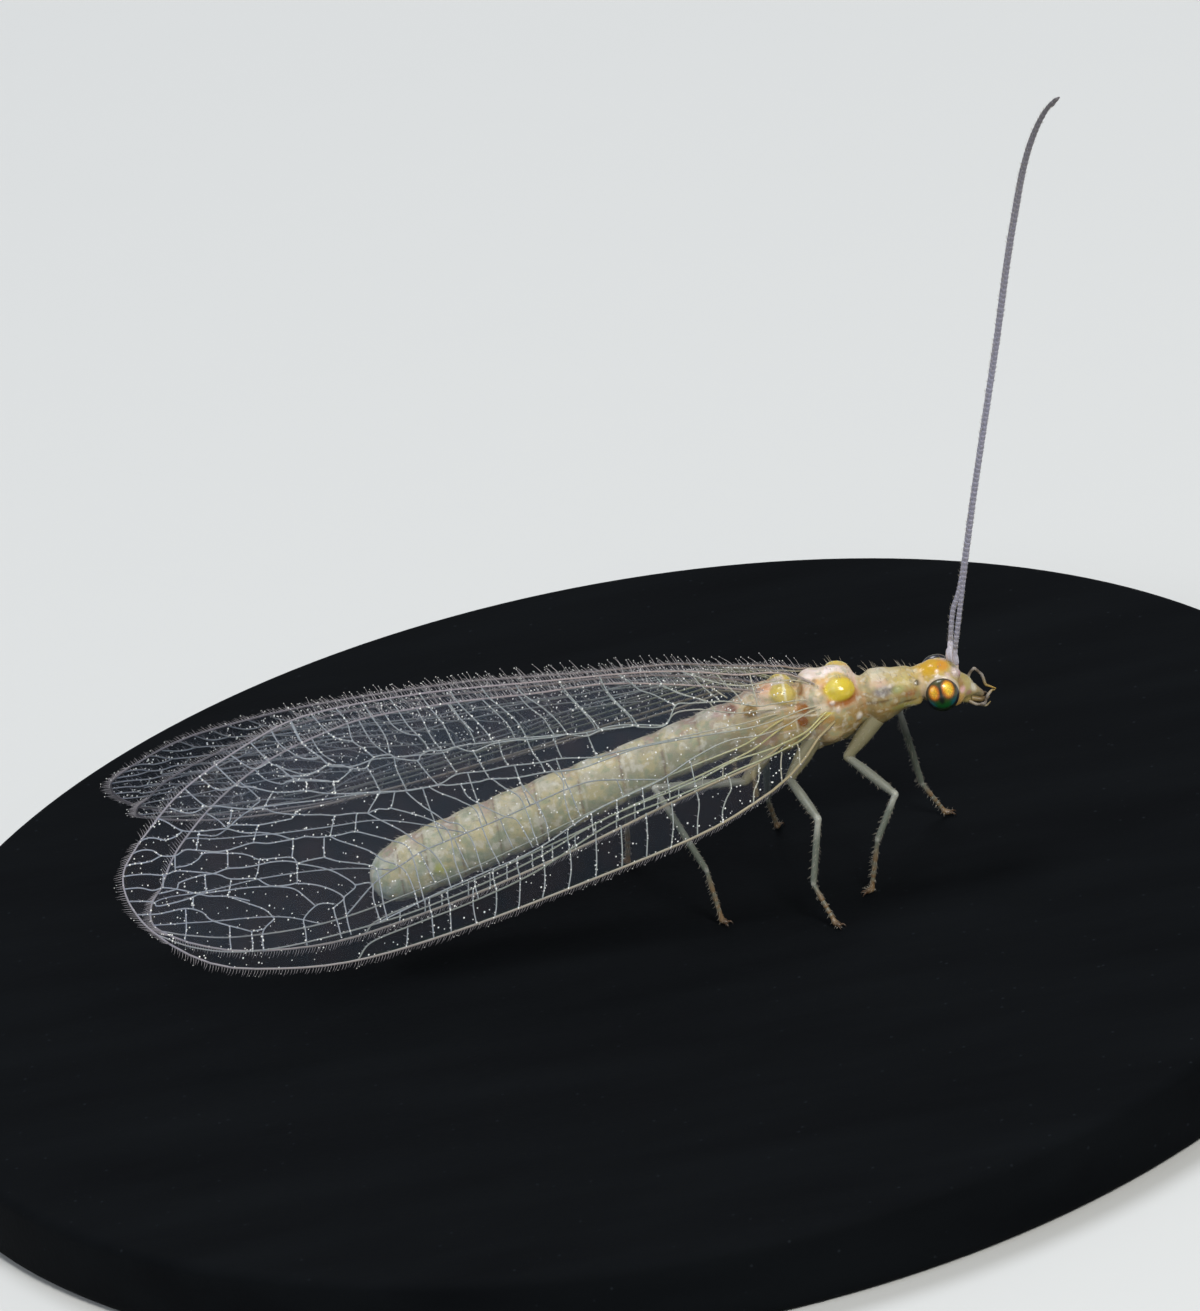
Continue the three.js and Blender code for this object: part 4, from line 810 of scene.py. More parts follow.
green_chitin = limb_material("grey green chitin", 0.3, 0.000004)
leg_lines = {}
for leg_name, (root, trochanter, knee, ankle, foot) in leg_routes.items():
    stops = [
        (root, 0.165, hip), (between(root, trochanter, 0.5), 0.15, hip),
        (between(root, trochanter, 0.85), 0.105, hip), (trochanter, 0.088, ring_joint),
        (beside(trochanter, knee, 0.14), 0.076, thigh), (between(trochanter, knee, 0.4), 0.094, thigh),
        (between(trochanter, knee, 0.75), 0.086, thigh), (beside(knee, trochanter, 0.1), 0.07, thigh),
        (knee, 0.07, knee_pale), (beside(knee, ankle, 0.1), 0.056, knee_pale),
        (between(knee, ankle, 0.35), 0.065, shin), (between(knee, ankle, 0.75), 0.061, shin),
        (beside(ankle, knee, 0.08), 0.06, shin), (ankle, 0.048, knee_pale),
    ]
    for start, end in foot_joints:
        stops.append((between(ankle, foot, start + 0.02), 0.04, shin))
        stops.append((between(ankle, foot, end - 0.02), 0.049, foot_tone))
        stops.append((between(ankle, foot, end), 0.038, foot_tone))
    # The last joint of the foot bends down flat to carry the two claws.
    heading = Vector((foot[0] - ankle[0], foot[1] - ankle[1], 0)).normalized()
    stops.append((between(ankle, foot, 0.92), 0.046, foot_tone))
    stops.append((foot, 0.06, foot_tone))
    toe = Vector(foot) + heading * 0.1 - Vector((0, 0, 0.02))
    stops.append((tuple(toe), 0.05, claw_tone))
    stops.append((tuple(toe + heading * 0.04), 0.012, claw_tone))
    lines = [jointed(stops, 0.05)]
    across = Vector((-heading.y, heading.x, 0))
    for claw_side in (-1, 1):
        grip = toe + across * claw_side * 0.02
        claw = []
        for ahead, out, down, radius, tone in claw_points:
            at = grip + heading * ahead + across * claw_side * out - Vector((0, 0, down))
            claw.append((tuple(at), radius, tone))
        lines.append(jointed(claw, 0.03))
    leg_lines[leg_name] = lines[0]
    leg = strands(f"jointed_leg_{leg_name}", lines, 5)
    leg.data.materials.append(green_chitin)
    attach(leg, "root")
    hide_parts(f"leg_{leg_name}")

# Wings: four clear films, folded like a roof, each hung from the side of the thorax. A wing's place is
# told by s, the share of its span, and v, the share of its chord, from its costa (0) to its rear (1).
hinge_x, wing_length, roof_flare = 2.33, 12.97, 1.3
hinge_spread, roof_spread, tip_spread = 1.12, 1.7, 0.25
hinge_height, roof_height, tip_drop = 3.24, 3.42, 0.13
hinge_pitch, roof_pitch = math.radians(72), math.radians(50.5)
camber, half_chord = 0.1, 2.3
film_thickness = 0.012


def roof(x, t):
    """The left half of the roof: t runs up its slope from the hinge line."""
    back = smoothstep(hinge_x - x, 0, roof_flare)
    share = min(max((hinge_x - x) / wing_length, 0), 1)
    spread = hinge_spread + (roof_spread - hinge_spread) * back + tip_spread * share ** 2
    height = hinge_height + (roof_height - hinge_height) * back - tip_drop * share ** 2
    pitch = hinge_pitch + (roof_pitch - hinge_pitch) * back
    bulge = camber * back * (1 - (t / half_chord) ** 2)
    across = spread - t * math.cos(pitch) + bulge * math.sin(pitch)
    return Vector((x, across, height + t * math.sin(pitch) + bulge * math.cos(pitch)))


def roof_normal(x, t):
    """The roof's outward direction."""
    step = 0.01
    return (roof(x, t + step) - roof(x, t - step)).cross(roof(x + step, t) - roof(x - step, t)).normalized()


def value_at(stops, s):
    """The value at s of a line that is listed as places and values."""
    places = [place for place, _ in stops]
    high = min(max(bisect.bisect_left(places, s), 1), len(stops) - 1)
    (s0, v0), (s1, v1) = stops[high - 1], stops[high]
    return v0 + (v1 - v0) * min(max((s - s0) / (s1 - s0), 0), 1)


class Wing:
    """A wing's outline, its depth under the roof, how far its root leans in to the thorax, and how far
    its rear edge is drawn in to close the ridge, as places along its span and millimetres."""

    def __init__(self, front, rear, tip, depth, root_lean, root_from, root_to, closing):
        self.edges = [smooth_path(edge, 24) for edge in (front, rear, tip)]
        self.corners = [np.array(corner, dtype=float) for corner in (front[0], rear[0], tip[0], tip[-1])]
        self.depth = depth
        self.root_lean = root_lean
        self.root_from = root_from
        self.root_to = root_to
        self.closing = closing

    def planform(self, s, v):
        """The place on the roof, as x and t, that fills in smoothly between the wing's edges."""
        shares = (s, s, v)
        front, rear, tip = [along_path(*e, share * e[1][-1]) for e, share in zip(self.edges, shares)]
        a, b, c, d = self.corners
        corners = a * (1 - s) * (1 - v) + b * (1 - s) * v + c * s * (1 - v) + d * s * v
        return front * (1 - v) + rear * v + (a * (1 - v) + b * v) * (1 - s) + tip * s - corners

    def place(self, s, v, side, lift=0.0):
        """The point of the wing in the animal's millimetres, lifted off its outer face."""
        x, t = self.planform(s, v)
        point = roof(x, t) + roof_normal(x, t) * (lift - self.depth)
        lean = self.root_lean * smoothstep(x, self.root_from, self.root_to)
        lean += value_at(self.closing, s) * smoothstep(v, 0.2, 1)
        return Vector((x, side * (point.y - lean), point.z - lean * math.tan(camera_rise)))

    def outward(self, s, v, side):
        """The wing's outward direction there."""
        x, t = self.planform(s, v)
        normal = roof_normal(x, t)
        return Vector((normal.x, side * normal.y, normal.z))


forewing = Wing(
    front=[(2.73, 0.11), (2.43, -0.08), (1.94, -0.53), (1.1, -0.97), (-0.11, -1.4), (-2.25, -1.82),
           (-4.77, -2.22), (-6.88, -2.36), (-8.6, -2.1), (-9.43, -1.78), (-10.02, -1.31)],
    rear=[(2.5, 0.86), (2.1, 1.12), (1.7, 1.27), (1.17, 1.4), (-0.26, 1.77), (-2.46, 2.04),
          (-4.68, 2.29), (-6.7, 2.35), (-7.84, 2.09), (-9.26, 1.46), (-10.22, 0.68)],
    tip=[(-10.02, -1.31), (-10.4, -0.85), (-10.63, -0.3), (-10.6, 0.2), (-10.22, 0.68)],
    depth=0, root_lean=0.42, root_from=1.7, root_to=2.7,
    closing=[(0, 0.12), (0.03, 0.44), (0.06, 0.67), (0.1, 0.68), (0.2, 0.49), (0.3, 0.43), (0.48, 0.22),
             (0.73, 0.13), (0.88, 0), (1, 0)],
)
hindwing = Wing(
    front=[(1.85, 0.0), (1.2, -0.25), (0.3, -0.45), (-0.9, -0.75), (-2.0, -1.05), (-3.5, -1.4), (-5.0, -1.68),
           (-7.0, -1.9), (-8.6, -1.72), (-9.5, -1.4), (-10.0, -1.1)],
    rear=[(1.75, 0.8), (1.35, 1.1), (0.8, 1.32), (-0.4, 1.65), (-1.38, 1.85), (-2.64, 1.94), (-4.02, 2.08),
          (-5.62, 2.15), (-6.51, 2.04), (-7.62, 1.75), (-8.66, 1.22), (-9.56, 0.46), (-10.0, -0.2)],
    tip=[(-10.0, -1.1), (-10.22, -0.9), (-10.28, -0.7), (-10.2, -0.42), (-10.0, -0.2)],
    depth=0.3, root_lean=0.5, root_from=0.7, root_to=1.85,
    closing=[(0, 0), (0.035, 0.28), (0.08, 0.5), (0.18, 0.3), (0.27, 0.22), (0.49, 0.06), (0.66, 0), (1, 0)],
)

# The long veins as s and v. Sc, R and Rs run close together behind the costa. Psm and Psc step
# through the middle of the wing.
fore_veins = {
    "costa": [(0, 0), (0.25, 0), (0.5, 0), (0.75, 0), (1, 0)],
    "Sc": [(0, 0.2), (0.04, 0.16), (0.09, 0.235), (0.137, 0.26), (0.181, 0.262), (0.27, 0.25), (0.344, 0.227),
           (0.457, 0.13), (0.549, 0.096), (0.64, 0.08), (0.705, 0.059), (0.735, 0)],
    "R": [(0, 0.3), (0.034, 0.2), (0.081, 0.275), (0.148, 0.33), (0.216, 0.3), (0.34, 0.265), (0.45, 0.185),
          (0.54, 0.15), (0.63, 0.13), (0.69, 0.125), (0.76, 0.12), (0.86, 0.10), (0.92, 0.11), (1, 0.125)],
    "Rs": [(0, 0.4), (0.062, 0.41), (0.104, 0.44), (0.15, 0.48), (0.203, 0.44), (0.264, 0.365),
           (0.352, 0.316), (0.446, 0.224), (0.535, 0.192), (0.6, 0.17), (0.69, 0.125)],
    "Psm": [(0, 0.45), (0.095, 0.52), (0.2, 0.56), (0.27, 0.57), (0.32, 0.548), (0.352, 0.534),
            (0.376, 0.54), (0.401, 0.553), (0.44, 0.557), (0.474, 0.576), (0.49, 0.575), (0.528, 0.587),
            (0.541, 0.597), (0.582, 0.603), (0.618, 0.622), (0.662, 0.645), (0.691, 0.668), (0.714, 0.696),
            (0.737, 0.711), (0.759, 0.736), (0.792, 0.799), (0.812, 0.837), (0.852, 1)],
    "Psc": [(0, 0.56), (0.039, 0.619), (0.075, 0.667), (0.093, 0.684), (0.116, 0.736), (0.138, 0.772),
            (0.164, 0.775), (0.188, 0.778), (0.207, 0.777), (0.228, 0.666), (0.262, 0.681), (0.269, 0.693),
            (0.298, 0.699), (0.314, 0.702), (0.335, 0.686), (0.358, 0.711), (0.376, 0.711), (0.412, 0.72),
            (0.428, 0.726), (0.458, 0.727), (0.486, 0.709), (0.503, 0.731), (0.509, 0.741), (0.526, 0.735),
            (0.543, 0.745), (0.556, 0.733), (0.562, 0.715), (0.588, 0.739), (0.597, 0.76), (0.619, 0.762),
            (0.631, 0.727), (0.648, 0.736), (0.663, 0.759), (0.68, 0.774), (0.691, 0.813), (0.714, 0.885),
            (0.732, 1)],
    "anal": [(0.01, 0.95), (0.06, 0.9), (0.13, 0.91), (0.19, 1)],
}
# The small veins between and beyond them as s and v in thousandths, from the root to the tip.
fore_cells = [
    [(734, 1000), (716, 890), (698, 835), (680, 774)], [(703, 1000), (681, 910), (667, 872), (646, 846)],
    [(668, 1000), (653, 932), (646, 850), (631, 805), (619, 764)],
    [(630, 1000), (619, 936), (606, 871), (599, 818), (597, 760)],
    [(593, 1000), (581, 936), (569, 867), (552, 799), (543, 745)],
    [(551, 1000), (539, 936), (522, 851), (514, 786), (509, 742)],
    [(509, 1000), (501, 946), (487, 886), (469, 807), (457, 732)],
    [(466, 1000), (456, 944), (437, 876), (423, 816), (416, 763), (412, 722)],
    [(419, 1000), (410, 947), (385, 864), (368, 786), (358, 711)],
    [(359, 1000), (351, 936), (336, 847), (322, 766), (314, 702)],
    [(303, 1000), (295, 908), (283, 825), (270, 750), (264, 687)],
    [(275, 1000), (260, 935), (251, 894), (234, 857), (218, 806), (207, 777)],
    [(224, 955), (217, 906), (198, 846), (181, 817), (164, 777)],
    [(176, 1000), (169, 917), (151, 813), (146, 777)], [(141, 1000), (132, 910), (121, 828), (116, 738)],
    [(94, 1000), (95, 910), (96, 792), (97, 696)], [(486, 708), (480, 646), (474, 576)],
    [(413, 721), (409, 654), (403, 602), (401, 554)], [(629, 727), (623, 682), (618, 622)],
    [(562, 715), (552, 652), (542, 598)], [(618, 622), (631, 586), (642, 553)],
    [(600, 608), (611, 551), (626, 558), (642, 553)],
    [(394, 590), (389, 549), (382, 493), (387, 429), (391, 323), (390, 274)],
    [(438, 553), (434, 509), (427, 442), (423, 340), (428, 253)],
    [(470, 571), (459, 525), (444, 469), (442, 383), (444, 305), (445, 235)],
    [(513, 580), (509, 525), (501, 493), (492, 463), (472, 403), (459, 376), (455, 315), (453, 233)],
    [(555, 601), (544, 568), (525, 526), (518, 506), (505, 463), (505, 387), (505, 303), (503, 208)],
    [(585, 599), (578, 565), (569, 526), (558, 488), (546, 442), (533, 423), (527, 384), (524, 314),
     (528, 199)],
    [(611, 551), (591, 518), (573, 484), (559, 448), (549, 405), (551, 344), (556, 271), (558, 186)],
    [(642, 553), (632, 524), (616, 481), (604, 443), (594, 398), (580, 345), (573, 262), (576, 169)],
    [(698, 503), (684, 498), (665, 495), (646, 466), (627, 432), (608, 392), (606, 333), (611, 238),
     (617, 145)],
    [(698, 502), (689, 478), (670, 440), (654, 403), (644, 360), (630, 330), (622, 290), (622, 215),
     (627, 138)],
    [(715, 431), (701, 404), (683, 381), (665, 358), (657, 333), (661, 259), (667, 197), (672, 129)],
    [(751, 437), (734, 412), (719, 387), (705, 353), (691, 295), (702, 273), (712, 257), (717, 207),
     (722, 160), (726, 108)],
    [(691, 295), (670, 285), (676, 230), (680, 167), (682, 126)],
    [(761, 362), (746, 346), (731, 322), (719, 292), (712, 257), (728, 234), (732, 211), (735, 162),
     (740, 105)],
    [(727, 245), (738, 257), (751, 257), (773, 218), (779, 169), (788, 101)],
    [(794, 379), (774, 356), (765, 335), (760, 309), (751, 257)], [(685, 573), (691, 539), (698, 503)],
    [(656, 560), (665, 495)], [(706, 504), (715, 431)], [(751, 437), (761, 362)],
    [(715, 431), (736, 436), (751, 437)],
    [(642, 553), (661, 566), (684, 575), (702, 592), (715, 602), (740, 626), (760, 655), (774, 686),
     (794, 708), (819, 746), (845, 793), (860, 817), (884, 910), (904, 1000)],
    [(929, 960), (903, 871), (884, 825), (871, 813), (860, 817)], [(774, 687), (767, 710), (759, 733)],
    [(740, 608), (761, 618), (786, 633), (806, 657), (825, 679)], [(728, 631), (740, 608)],
    [(819, 743), (822, 704), (829, 668)],
    [(960, 1000), (919, 840), (895, 757), (870, 712), (846, 686), (829, 668), (812, 633), (800, 616),
     (783, 598), (762, 565), (746, 532), (729, 527), (714, 511), (698, 503)],
    [(1000, 1000), (934, 789), (917, 753), (902, 746), (895, 755)], [(786, 633), (792, 602), (798, 572)],
    [(746, 532), (763, 540), (780, 550), (798, 572), (818, 577), (834, 580), (852, 594), (876, 632),
     (892, 657), (908, 652), (930, 688), (947, 753), (1000, 892)],
    [(869, 708), (872, 673), (876, 633)], [(930, 687), (955, 698), (1000, 783)],
    [(746, 530), (750, 495), (755, 466)],
    [(751, 440), (755, 466), (777, 485), (797, 499), (808, 528), (821, 551), (836, 568), (866, 605),
     (877, 589), (893, 582), (910, 595)],
    [(750, 441), (765, 461), (782, 474), (801, 480), (822, 489), (842, 505), (862, 504), (884, 516),
     (911, 515), (919, 489), (946, 492)],
    [(835, 568), (841, 506)], [(797, 498), (803, 461), (811, 429)],
    [(760, 365), (774, 367), (794, 380), (803, 404), (811, 429), (842, 457), (856, 492), (882, 534),
     (911, 577), (931, 582), (957, 628), (1000, 696)],
    [(908, 649), (912, 579)],
    [(794, 379), (824, 400), (853, 414), (881, 428), (893, 437), (908, 468), (919, 489), (937, 517),
     (954, 522), (973, 562), (1000, 594)],
    [(842, 457), (848, 421), (855, 386)], [(874, 507), (881, 428)], [(931, 580), (937, 517)],
    [(830, 343), (855, 385), (878, 408), (891, 430), (905, 425), (933, 420), (958, 421), (961, 452),
     (1000, 487)],
    [(810, 243), (816, 289), (832, 329), (855, 385)], [(810, 243), (830, 205), (840, 157), (848, 94)],
    [(848, 202), (889, 283), (898, 340), (915, 375), (939, 375), (965, 365), (1000, 360)],
    [(901, 421), (908, 366)], [(872, 244), (882, 177), (890, 116)], [(848, 202), (855, 150), (863, 95)],
    [(918, 374), (932, 263), (949, 166)], [(830, 205), (848, 202)],
    [(879, 1000), (851, 889), (832, 845), (812, 837)],
    [(681, 709), (712, 739), (729, 759), (750, 829), (763, 865), (795, 1000)],
    [(827, 1000), (789, 874), (763, 865)], [(711, 737), (713, 695)],
    [(762, 1000), (748, 920), (724, 847), (710, 820), (691, 813)],
    [(680, 774), (700, 756), (718, 757), (750, 789)],
    [(648, 736), (665, 707), (676, 703), (704, 727), (740, 757)], [(676, 702), (676, 656)],
]
# The cross-veins from Sc to the costa, likewise.
fore_costals = [
    [(66, 185), (69, 94), (76, 0)], [(92, 215), (101, 120), (109, 0)],
    [(127, 237), (136, 136), (149, 75), (157, 0)],
    [(172, 244), (176, 169), (188, 123), (200, 65), (206, 0)],
    [(221, 239), (225, 163), (236, 80), (245, 0)], [(258, 227), (268, 113), (284, 0)],
    [(295, 222), (306, 108), (320, 0)], [(333, 200), (345, 85), (356, 0)],
    [(371, 177), (383, 75), (394, 0)], [(409, 169), (419, 80), (434, 0)], [(449, 140), (460, 58), (472, 0)],
    [(486, 122), (502, 22), (508, 0)], [(522, 109), (532, 42), (541, 0)], [(549, 148), (560, 75), (567, 0)],
    [(589, 103), (594, 65), (603, 0)], [(616, 92), (628, 0)], [(653, 73), (661, 29), (667, 0)],
]
hind_veins = {
    "costa": [(0, 0), (0.25, 0), (0.5, 0), (0.75, 0), (1, 0)],
    "Sc": [(0, 0.3), (0.06, 0.2), (0.15, 0.12), (0.3, 0.1), (0.5, 0.07), (0.66, 0.05), (0.7, 0)],
    "R": [(0, 0.45), (0.08, 0.28), (0.2, 0.21), (0.35, 0.17), (0.5, 0.13), (0.7, 0.11), (0.88, 0.12),
          (1, 0.16)],
    "Rs": [(0.2, 0.2), (0.254, 0.294), (0.302, 0.363), (0.342, 0.368), (0.39, 0.349), (0.448, 0.323),
           (0.506, 0.309), (0.568, 0.292), (0.603, 0.262), (0.65, 0.225), (0.71, 0.12)],
    "Psm": [(0, 0.6), (0.1, 0.53), (0.2, 0.5), (0.27, 0.501), (0.286, 0.502), (0.335, 0.558),
            (0.369, 0.569), (0.414, 0.592), (0.449, 0.595), (0.489, 0.613), (0.519, 0.586), (0.566, 0.597),
            (0.604, 0.618), (0.622, 0.636), (0.67, 0.672), (0.706, 0.703), (0.75, 0.75), (0.795, 0.802),
            (0.836, 0.785)],
    "Psc": [(0, 0.7), (0.04, 0.69), (0.075, 0.696), (0.113, 0.74), (0.127, 0.752), (0.159, 0.733),
            (0.178, 0.642), (0.195, 0.647), (0.214, 0.663), (0.223, 0.672), (0.254, 0.686), (0.294, 0.681),
            (0.339, 0.712), (0.396, 0.74), (0.435, 0.746), (0.476, 0.757), (0.502, 0.74), (0.534, 0.754),
            (0.568, 0.769), (0.601, 0.785), (0.633, 0.784), (0.667, 0.829)],
    "ray1": [(0.5, 0.31), (0.56, 0.42), (0.62, 0.5), (0.7, 0.56), (0.78, 0.64), (0.86, 0.78), (0.92, 1)],
    "ray3": [(0.62, 0.25), (0.67, 0.32), (0.73, 0.38), (0.8, 0.43), (0.88, 0.48), (0.94, 0.56), (1, 0.7)],
    "ray5": [(0.75, 0.11), (0.8, 0.2), (0.88, 0.26), (1, 0.33)],
}
hind_cells = [
    [(480, 1000), (469, 910), (458, 827), (454, 756)],
    [(433, 1000), (420, 931), (406, 853), (399, 793), (396, 738)],
    [(380, 1000), (369, 925), (351, 837), (344, 766), (339, 710)],
    [(318, 1000), (308, 935), (293, 829), (282, 737), (279, 676)],
    [(261, 1000), (251, 907), (238, 811), (228, 741), (224, 671)],
    [(181, 1000), (159, 947), (133, 883), (109, 834), (102, 733)], [(103, 1000), (96, 966), (80, 878)],
    [(420, 743), (419, 654), (414, 594)], [(342, 712), (339, 621), (336, 559)],
    [(293, 679), (288, 548), (286, 502)], [(572, 770), (572, 706), (565, 597)],
    [(502, 740), (495, 672), (488, 609)], [(528, 1000), (521, 920), (515, 843), (502, 745)],
    [(483, 1000), (471, 920), (453, 820)], [(613, 1000), (599, 872), (578, 785)],
    [(574, 1000), (565, 930), (548, 877), (527, 852)], [(685, 1000), (675, 910), (656, 834)],
    [(723, 1000), (710, 942), (690, 897), (678, 886)],
    [(743, 952), (724, 889), (702, 837), (680, 831), (665, 839)],
    [(778, 1000), (764, 915), (745, 857), (737, 843), (721, 843)],
    [(806, 1000), (778, 837), (785, 816), (795, 811)], [(872, 1000), (848, 867), (836, 786)],
    [(892, 911), (864, 812), (851, 785), (836, 783)],
]
# Its rows of cross-veins: lower and upper line, first and last s, how many, and the lean of the upper
# end.
hind_rows = [
    ("costa", "Sc", 0.1, 0.66, 16, -0.008), ("R", "Rs", 0.24, 0.6, 6, 0.002),
    ("Rs", "Psm", 0.3, 0.56, 4, 0.006),
]
stem_tones = [(0, "c2ba7c"), (0.1, "a9ab86"), (0.22, "8a9280"), (0.5, "7d857e"), (1, "8a9098")]
costa_tones = [(0, "a79b76"), (0.3, "9a9484"), (0.7, "94908e"), (1, "8f8d98")]
net_tones = [(0, "bdb598"), (0.2, "8f9896"), (1, "8f98a8")]
edge_tones = [(0, "b3a69a"), (0.04, "a5968e"), (0.5, "8f8a92"), (1, "8d8c98")]


def left_variant(s, v):
    """Where the left wing's net has the point that the right one has at s and v."""
    inside = 16 * s * (1 - s) * v * (1 - v)
    return (
        s + 0.012 * inside * noise.noise(Vector((s * 7, v * 3, 1.7))),
        v + 0.05 * inside * noise.noise(Vector((s * 7, v * 3, 8.3))),
    )


def vein_net(veins, cells, costals, rows, side):
    """The vein lines of one wing, each as its kind and its points. The left net differs a little."""
    net = [(name, smooth_path(stops, 8)[0]) for name, stops in veins.items()]
    for points in cells + costals:
        net.append(("cell", smooth_path([(s / 1000, v / 1000) for s, v in points], 4)[0]))
    for points in costals:
        # Most costal cross-veins run straight on over Sc and R to Rs.
        s = points[0][0] / 1000
        if 0.2 < s < 0.64:
            stops = [
                (s, value_at(veins["Sc"], s)), (s - 0.003, value_at(veins["R"], s)),
                (s - 0.008, value_at(veins["Rs"], s)),
            ]
            net.append(("cell", smooth_path(stops, 2)[0]))
    for lower, upper, first, last, count, lean in rows:
        row_rng = random.Random(f"{lower} to {upper}")
        for index in range(count):
            s = first + (last - first) * (index + 0.5 + row_rng.uniform(-0.15, 0.15)) / count
            ends = ((s, value_at(veins[lower], s)), (s + lean, value_at(veins[upper], s + lean)))
            net.append(("cell", smooth_path(ends, 6)[0]))
    if side > 0:
        net = [(kind, [left_variant(s, v) for s, v in stops]) for kind, stops in net]
    return net


def vein_radius(kind, s):
    """Half a vein's thickness: the costa and R are stout, all taper outward, and the small veins are thin."""
    if kind == "costa":
        return 0.026 - 0.007 * s
    if kind in ("R", "Sc"):
        return 0.018 - 0.004 * s
    if kind in ("Rs", "Psm", "Psc", "anal"):
        return 0.0138
    if kind == "edge":
        return 0.018
    if kind.startswith("ray"):
        return 0.011
    return 0.0126


vein_stops = {"costa": costa_tones, "Sc": stem_tones, "R": stem_tones, "edge": edge_tones}


def film_material(name, alpha, thin_tone, thick_tone):
    """Clear chitin film, with ripples half a millimetre long between its veins and a faint play of colour."""
    material, tree = new_material(name)
    place = add_node(tree, "ShaderNodeTexCoord").outputs["Object"]
    ripples = add_node(tree, "ShaderNodeTexNoise", {"Vector": place, "Scale": 1900, "Detail": 3})
    bump = add_node(tree, "ShaderNodeBump", {
        "Height": ripples.outputs["Fac"], "Strength": 0.5, "Distance": 0.00004})
    sheen = add_node(tree, "ShaderNodeValToRGB", {"Fac": ripples.outputs["Fac"]})
    sheen.color_ramp.elements[0].position = 0.35
    sheen.color_ramp.elements[0].color = linear(thin_tone)
    sheen.color_ramp.elements[1].position = 0.65
    sheen.color_ramp.elements[1].color = linear(thick_tone)
    add_surface(tree, {
        "Base Color": sheen.outputs["Color"], "Alpha": alpha, "Roughness": 0.16, "IOR": 1.7,
        "Normal": bump.outputs["Normal"], "Thin Film Thickness": 420.0, "Thin Film IOR": 1.4,
        "Coat Weight": 1.0, "Coat Roughness": 0.08})
    return material


# The left pair is drawn milkier than the right and with darker veins: painted sheen and painted shade for the
# light that falls along the far pair.
films = {
    "right": film_material("clear chitin film", 0.015, "94aac8", "b4b4cc"),
    "left": film_material("chitin film with painted milky sheen", 0.085, "8491a8", "949cac"),
}
vein_chitin = limb_material("vein chitin", 0.15, 0.000002)
# The left veins' shade of 0.68 is painted shade.
painted_vein_shades = {"right": 1.0, "left": 0.68}

# The near-white specks on the wings are painted glints of light on their tiny hairs.
hair_tone, ridge_hair_tone, glint_speck_tone = linear("98959b"), linear("b5b2b6"), linear("f4f6f4")
hair_chitin, tree = new_material("pale bristle")
tint = add_node(tree, "ShaderNodeAttribute", attribute_name="tint")
add_surface(tree, {
    "Base Color": tint.outputs["Color"], "Roughness": 0.4, "IOR": 1.55, "Sheen Weight": 0.3})


def bristle(place, direction, length, radius, tone):
    """A bristle that bends over slightly towards its tip, as four points for strands()."""
    bend = Vector((-0.25, 0, 0.1)) * length
    line = []
    for share, thickness in ((0, 1), (0.35, 0.9), (0.7, 0.6), (1, 0.15)):
        at = place + direction * length * share + bend * share * share
        line.append((tuple(at), radius * thickness, tone))
    return line


def glint_speck(place, radius):
    """A near-white speck, a painted glint of light on the wing's tiny hairs, as four points for strands()."""
    line = []
    for step, share in ((-0.9, 0.35), (-0.35, 0.95), (0.35, 0.95), (0.9, 0.35)):
        at = place + Vector((0.4, 0.2, 0.9)) * step * radius
        line.append((tuple(at), radius * share, glint_speck_tone))
    return line


def joined_hairs(name, growth):
    """Hairs as one piece. A growth is a hair and its root's place, where OFBake has a small patch for it."""
    piece = strands(name, [hair for hair, _ in growth], 0)
    piece.data.materials.append(hair_chitin)
    patch = 0.003
    per_hair = len(piece.data.vertices) // len(growth)
    corners = np.empty(len(piece.data.loops), dtype=np.int64)
    piece.data.loops.foreach_get("vertex_index", corners)
    hair = np.minimum(corners // per_hair, len(growth) - 1)
    within = (corners % per_hair) / per_hair
    base = np.array([spot for _, spot in growth])[hair]
    offset = np.stack([within, (within * 4) % 1], axis=1) * patch
    layer = piece.data.uv_layers.new(name="OFBake")
    layer.data.foreach_set("uv", (base * (1 - patch) + offset).astype(np.float32).ravel())
    return piece


def shaken(rng, reach):
    """A small random step, up to reach each way."""
    return Vector([rng.uniform(-reach, reach) for _ in range(3)])


def wing_film(wing, side, name):
    """One film as a thin closed sheet."""
    film_columns, film_rows = 150, 34
    bm = bmesh.new()
    bmesh.ops.create_grid(bm, x_segments=film_columns, y_segments=film_rows, size=0.5)
    for vert in bm.verts:
        vert.co = wing.place(0.5 - vert.co.x, vert.co.y + 0.5, side)
    bm.normal_update()
    under = bmesh.ops.extrude_face_region(bm, geom=bm.faces[:])["geom"]
    for vert in under:
        if isinstance(vert, bmesh.types.BMVert):
            vert.co += vert.normal * film_thickness
    bmesh.ops.recalc_face_normals(bm, faces=bm.faces)
    bm.verts.index_update()

    def rank(face):
        corners = [vert.index for vert in face.verts]
        return min(corners) * len(bm.verts) + max(corners)

    # Extruding leaves the faces in an order that changes from run to run, so they get a fixed one.
    bm.faces.sort(key=rank)
    return settle(bm, name)


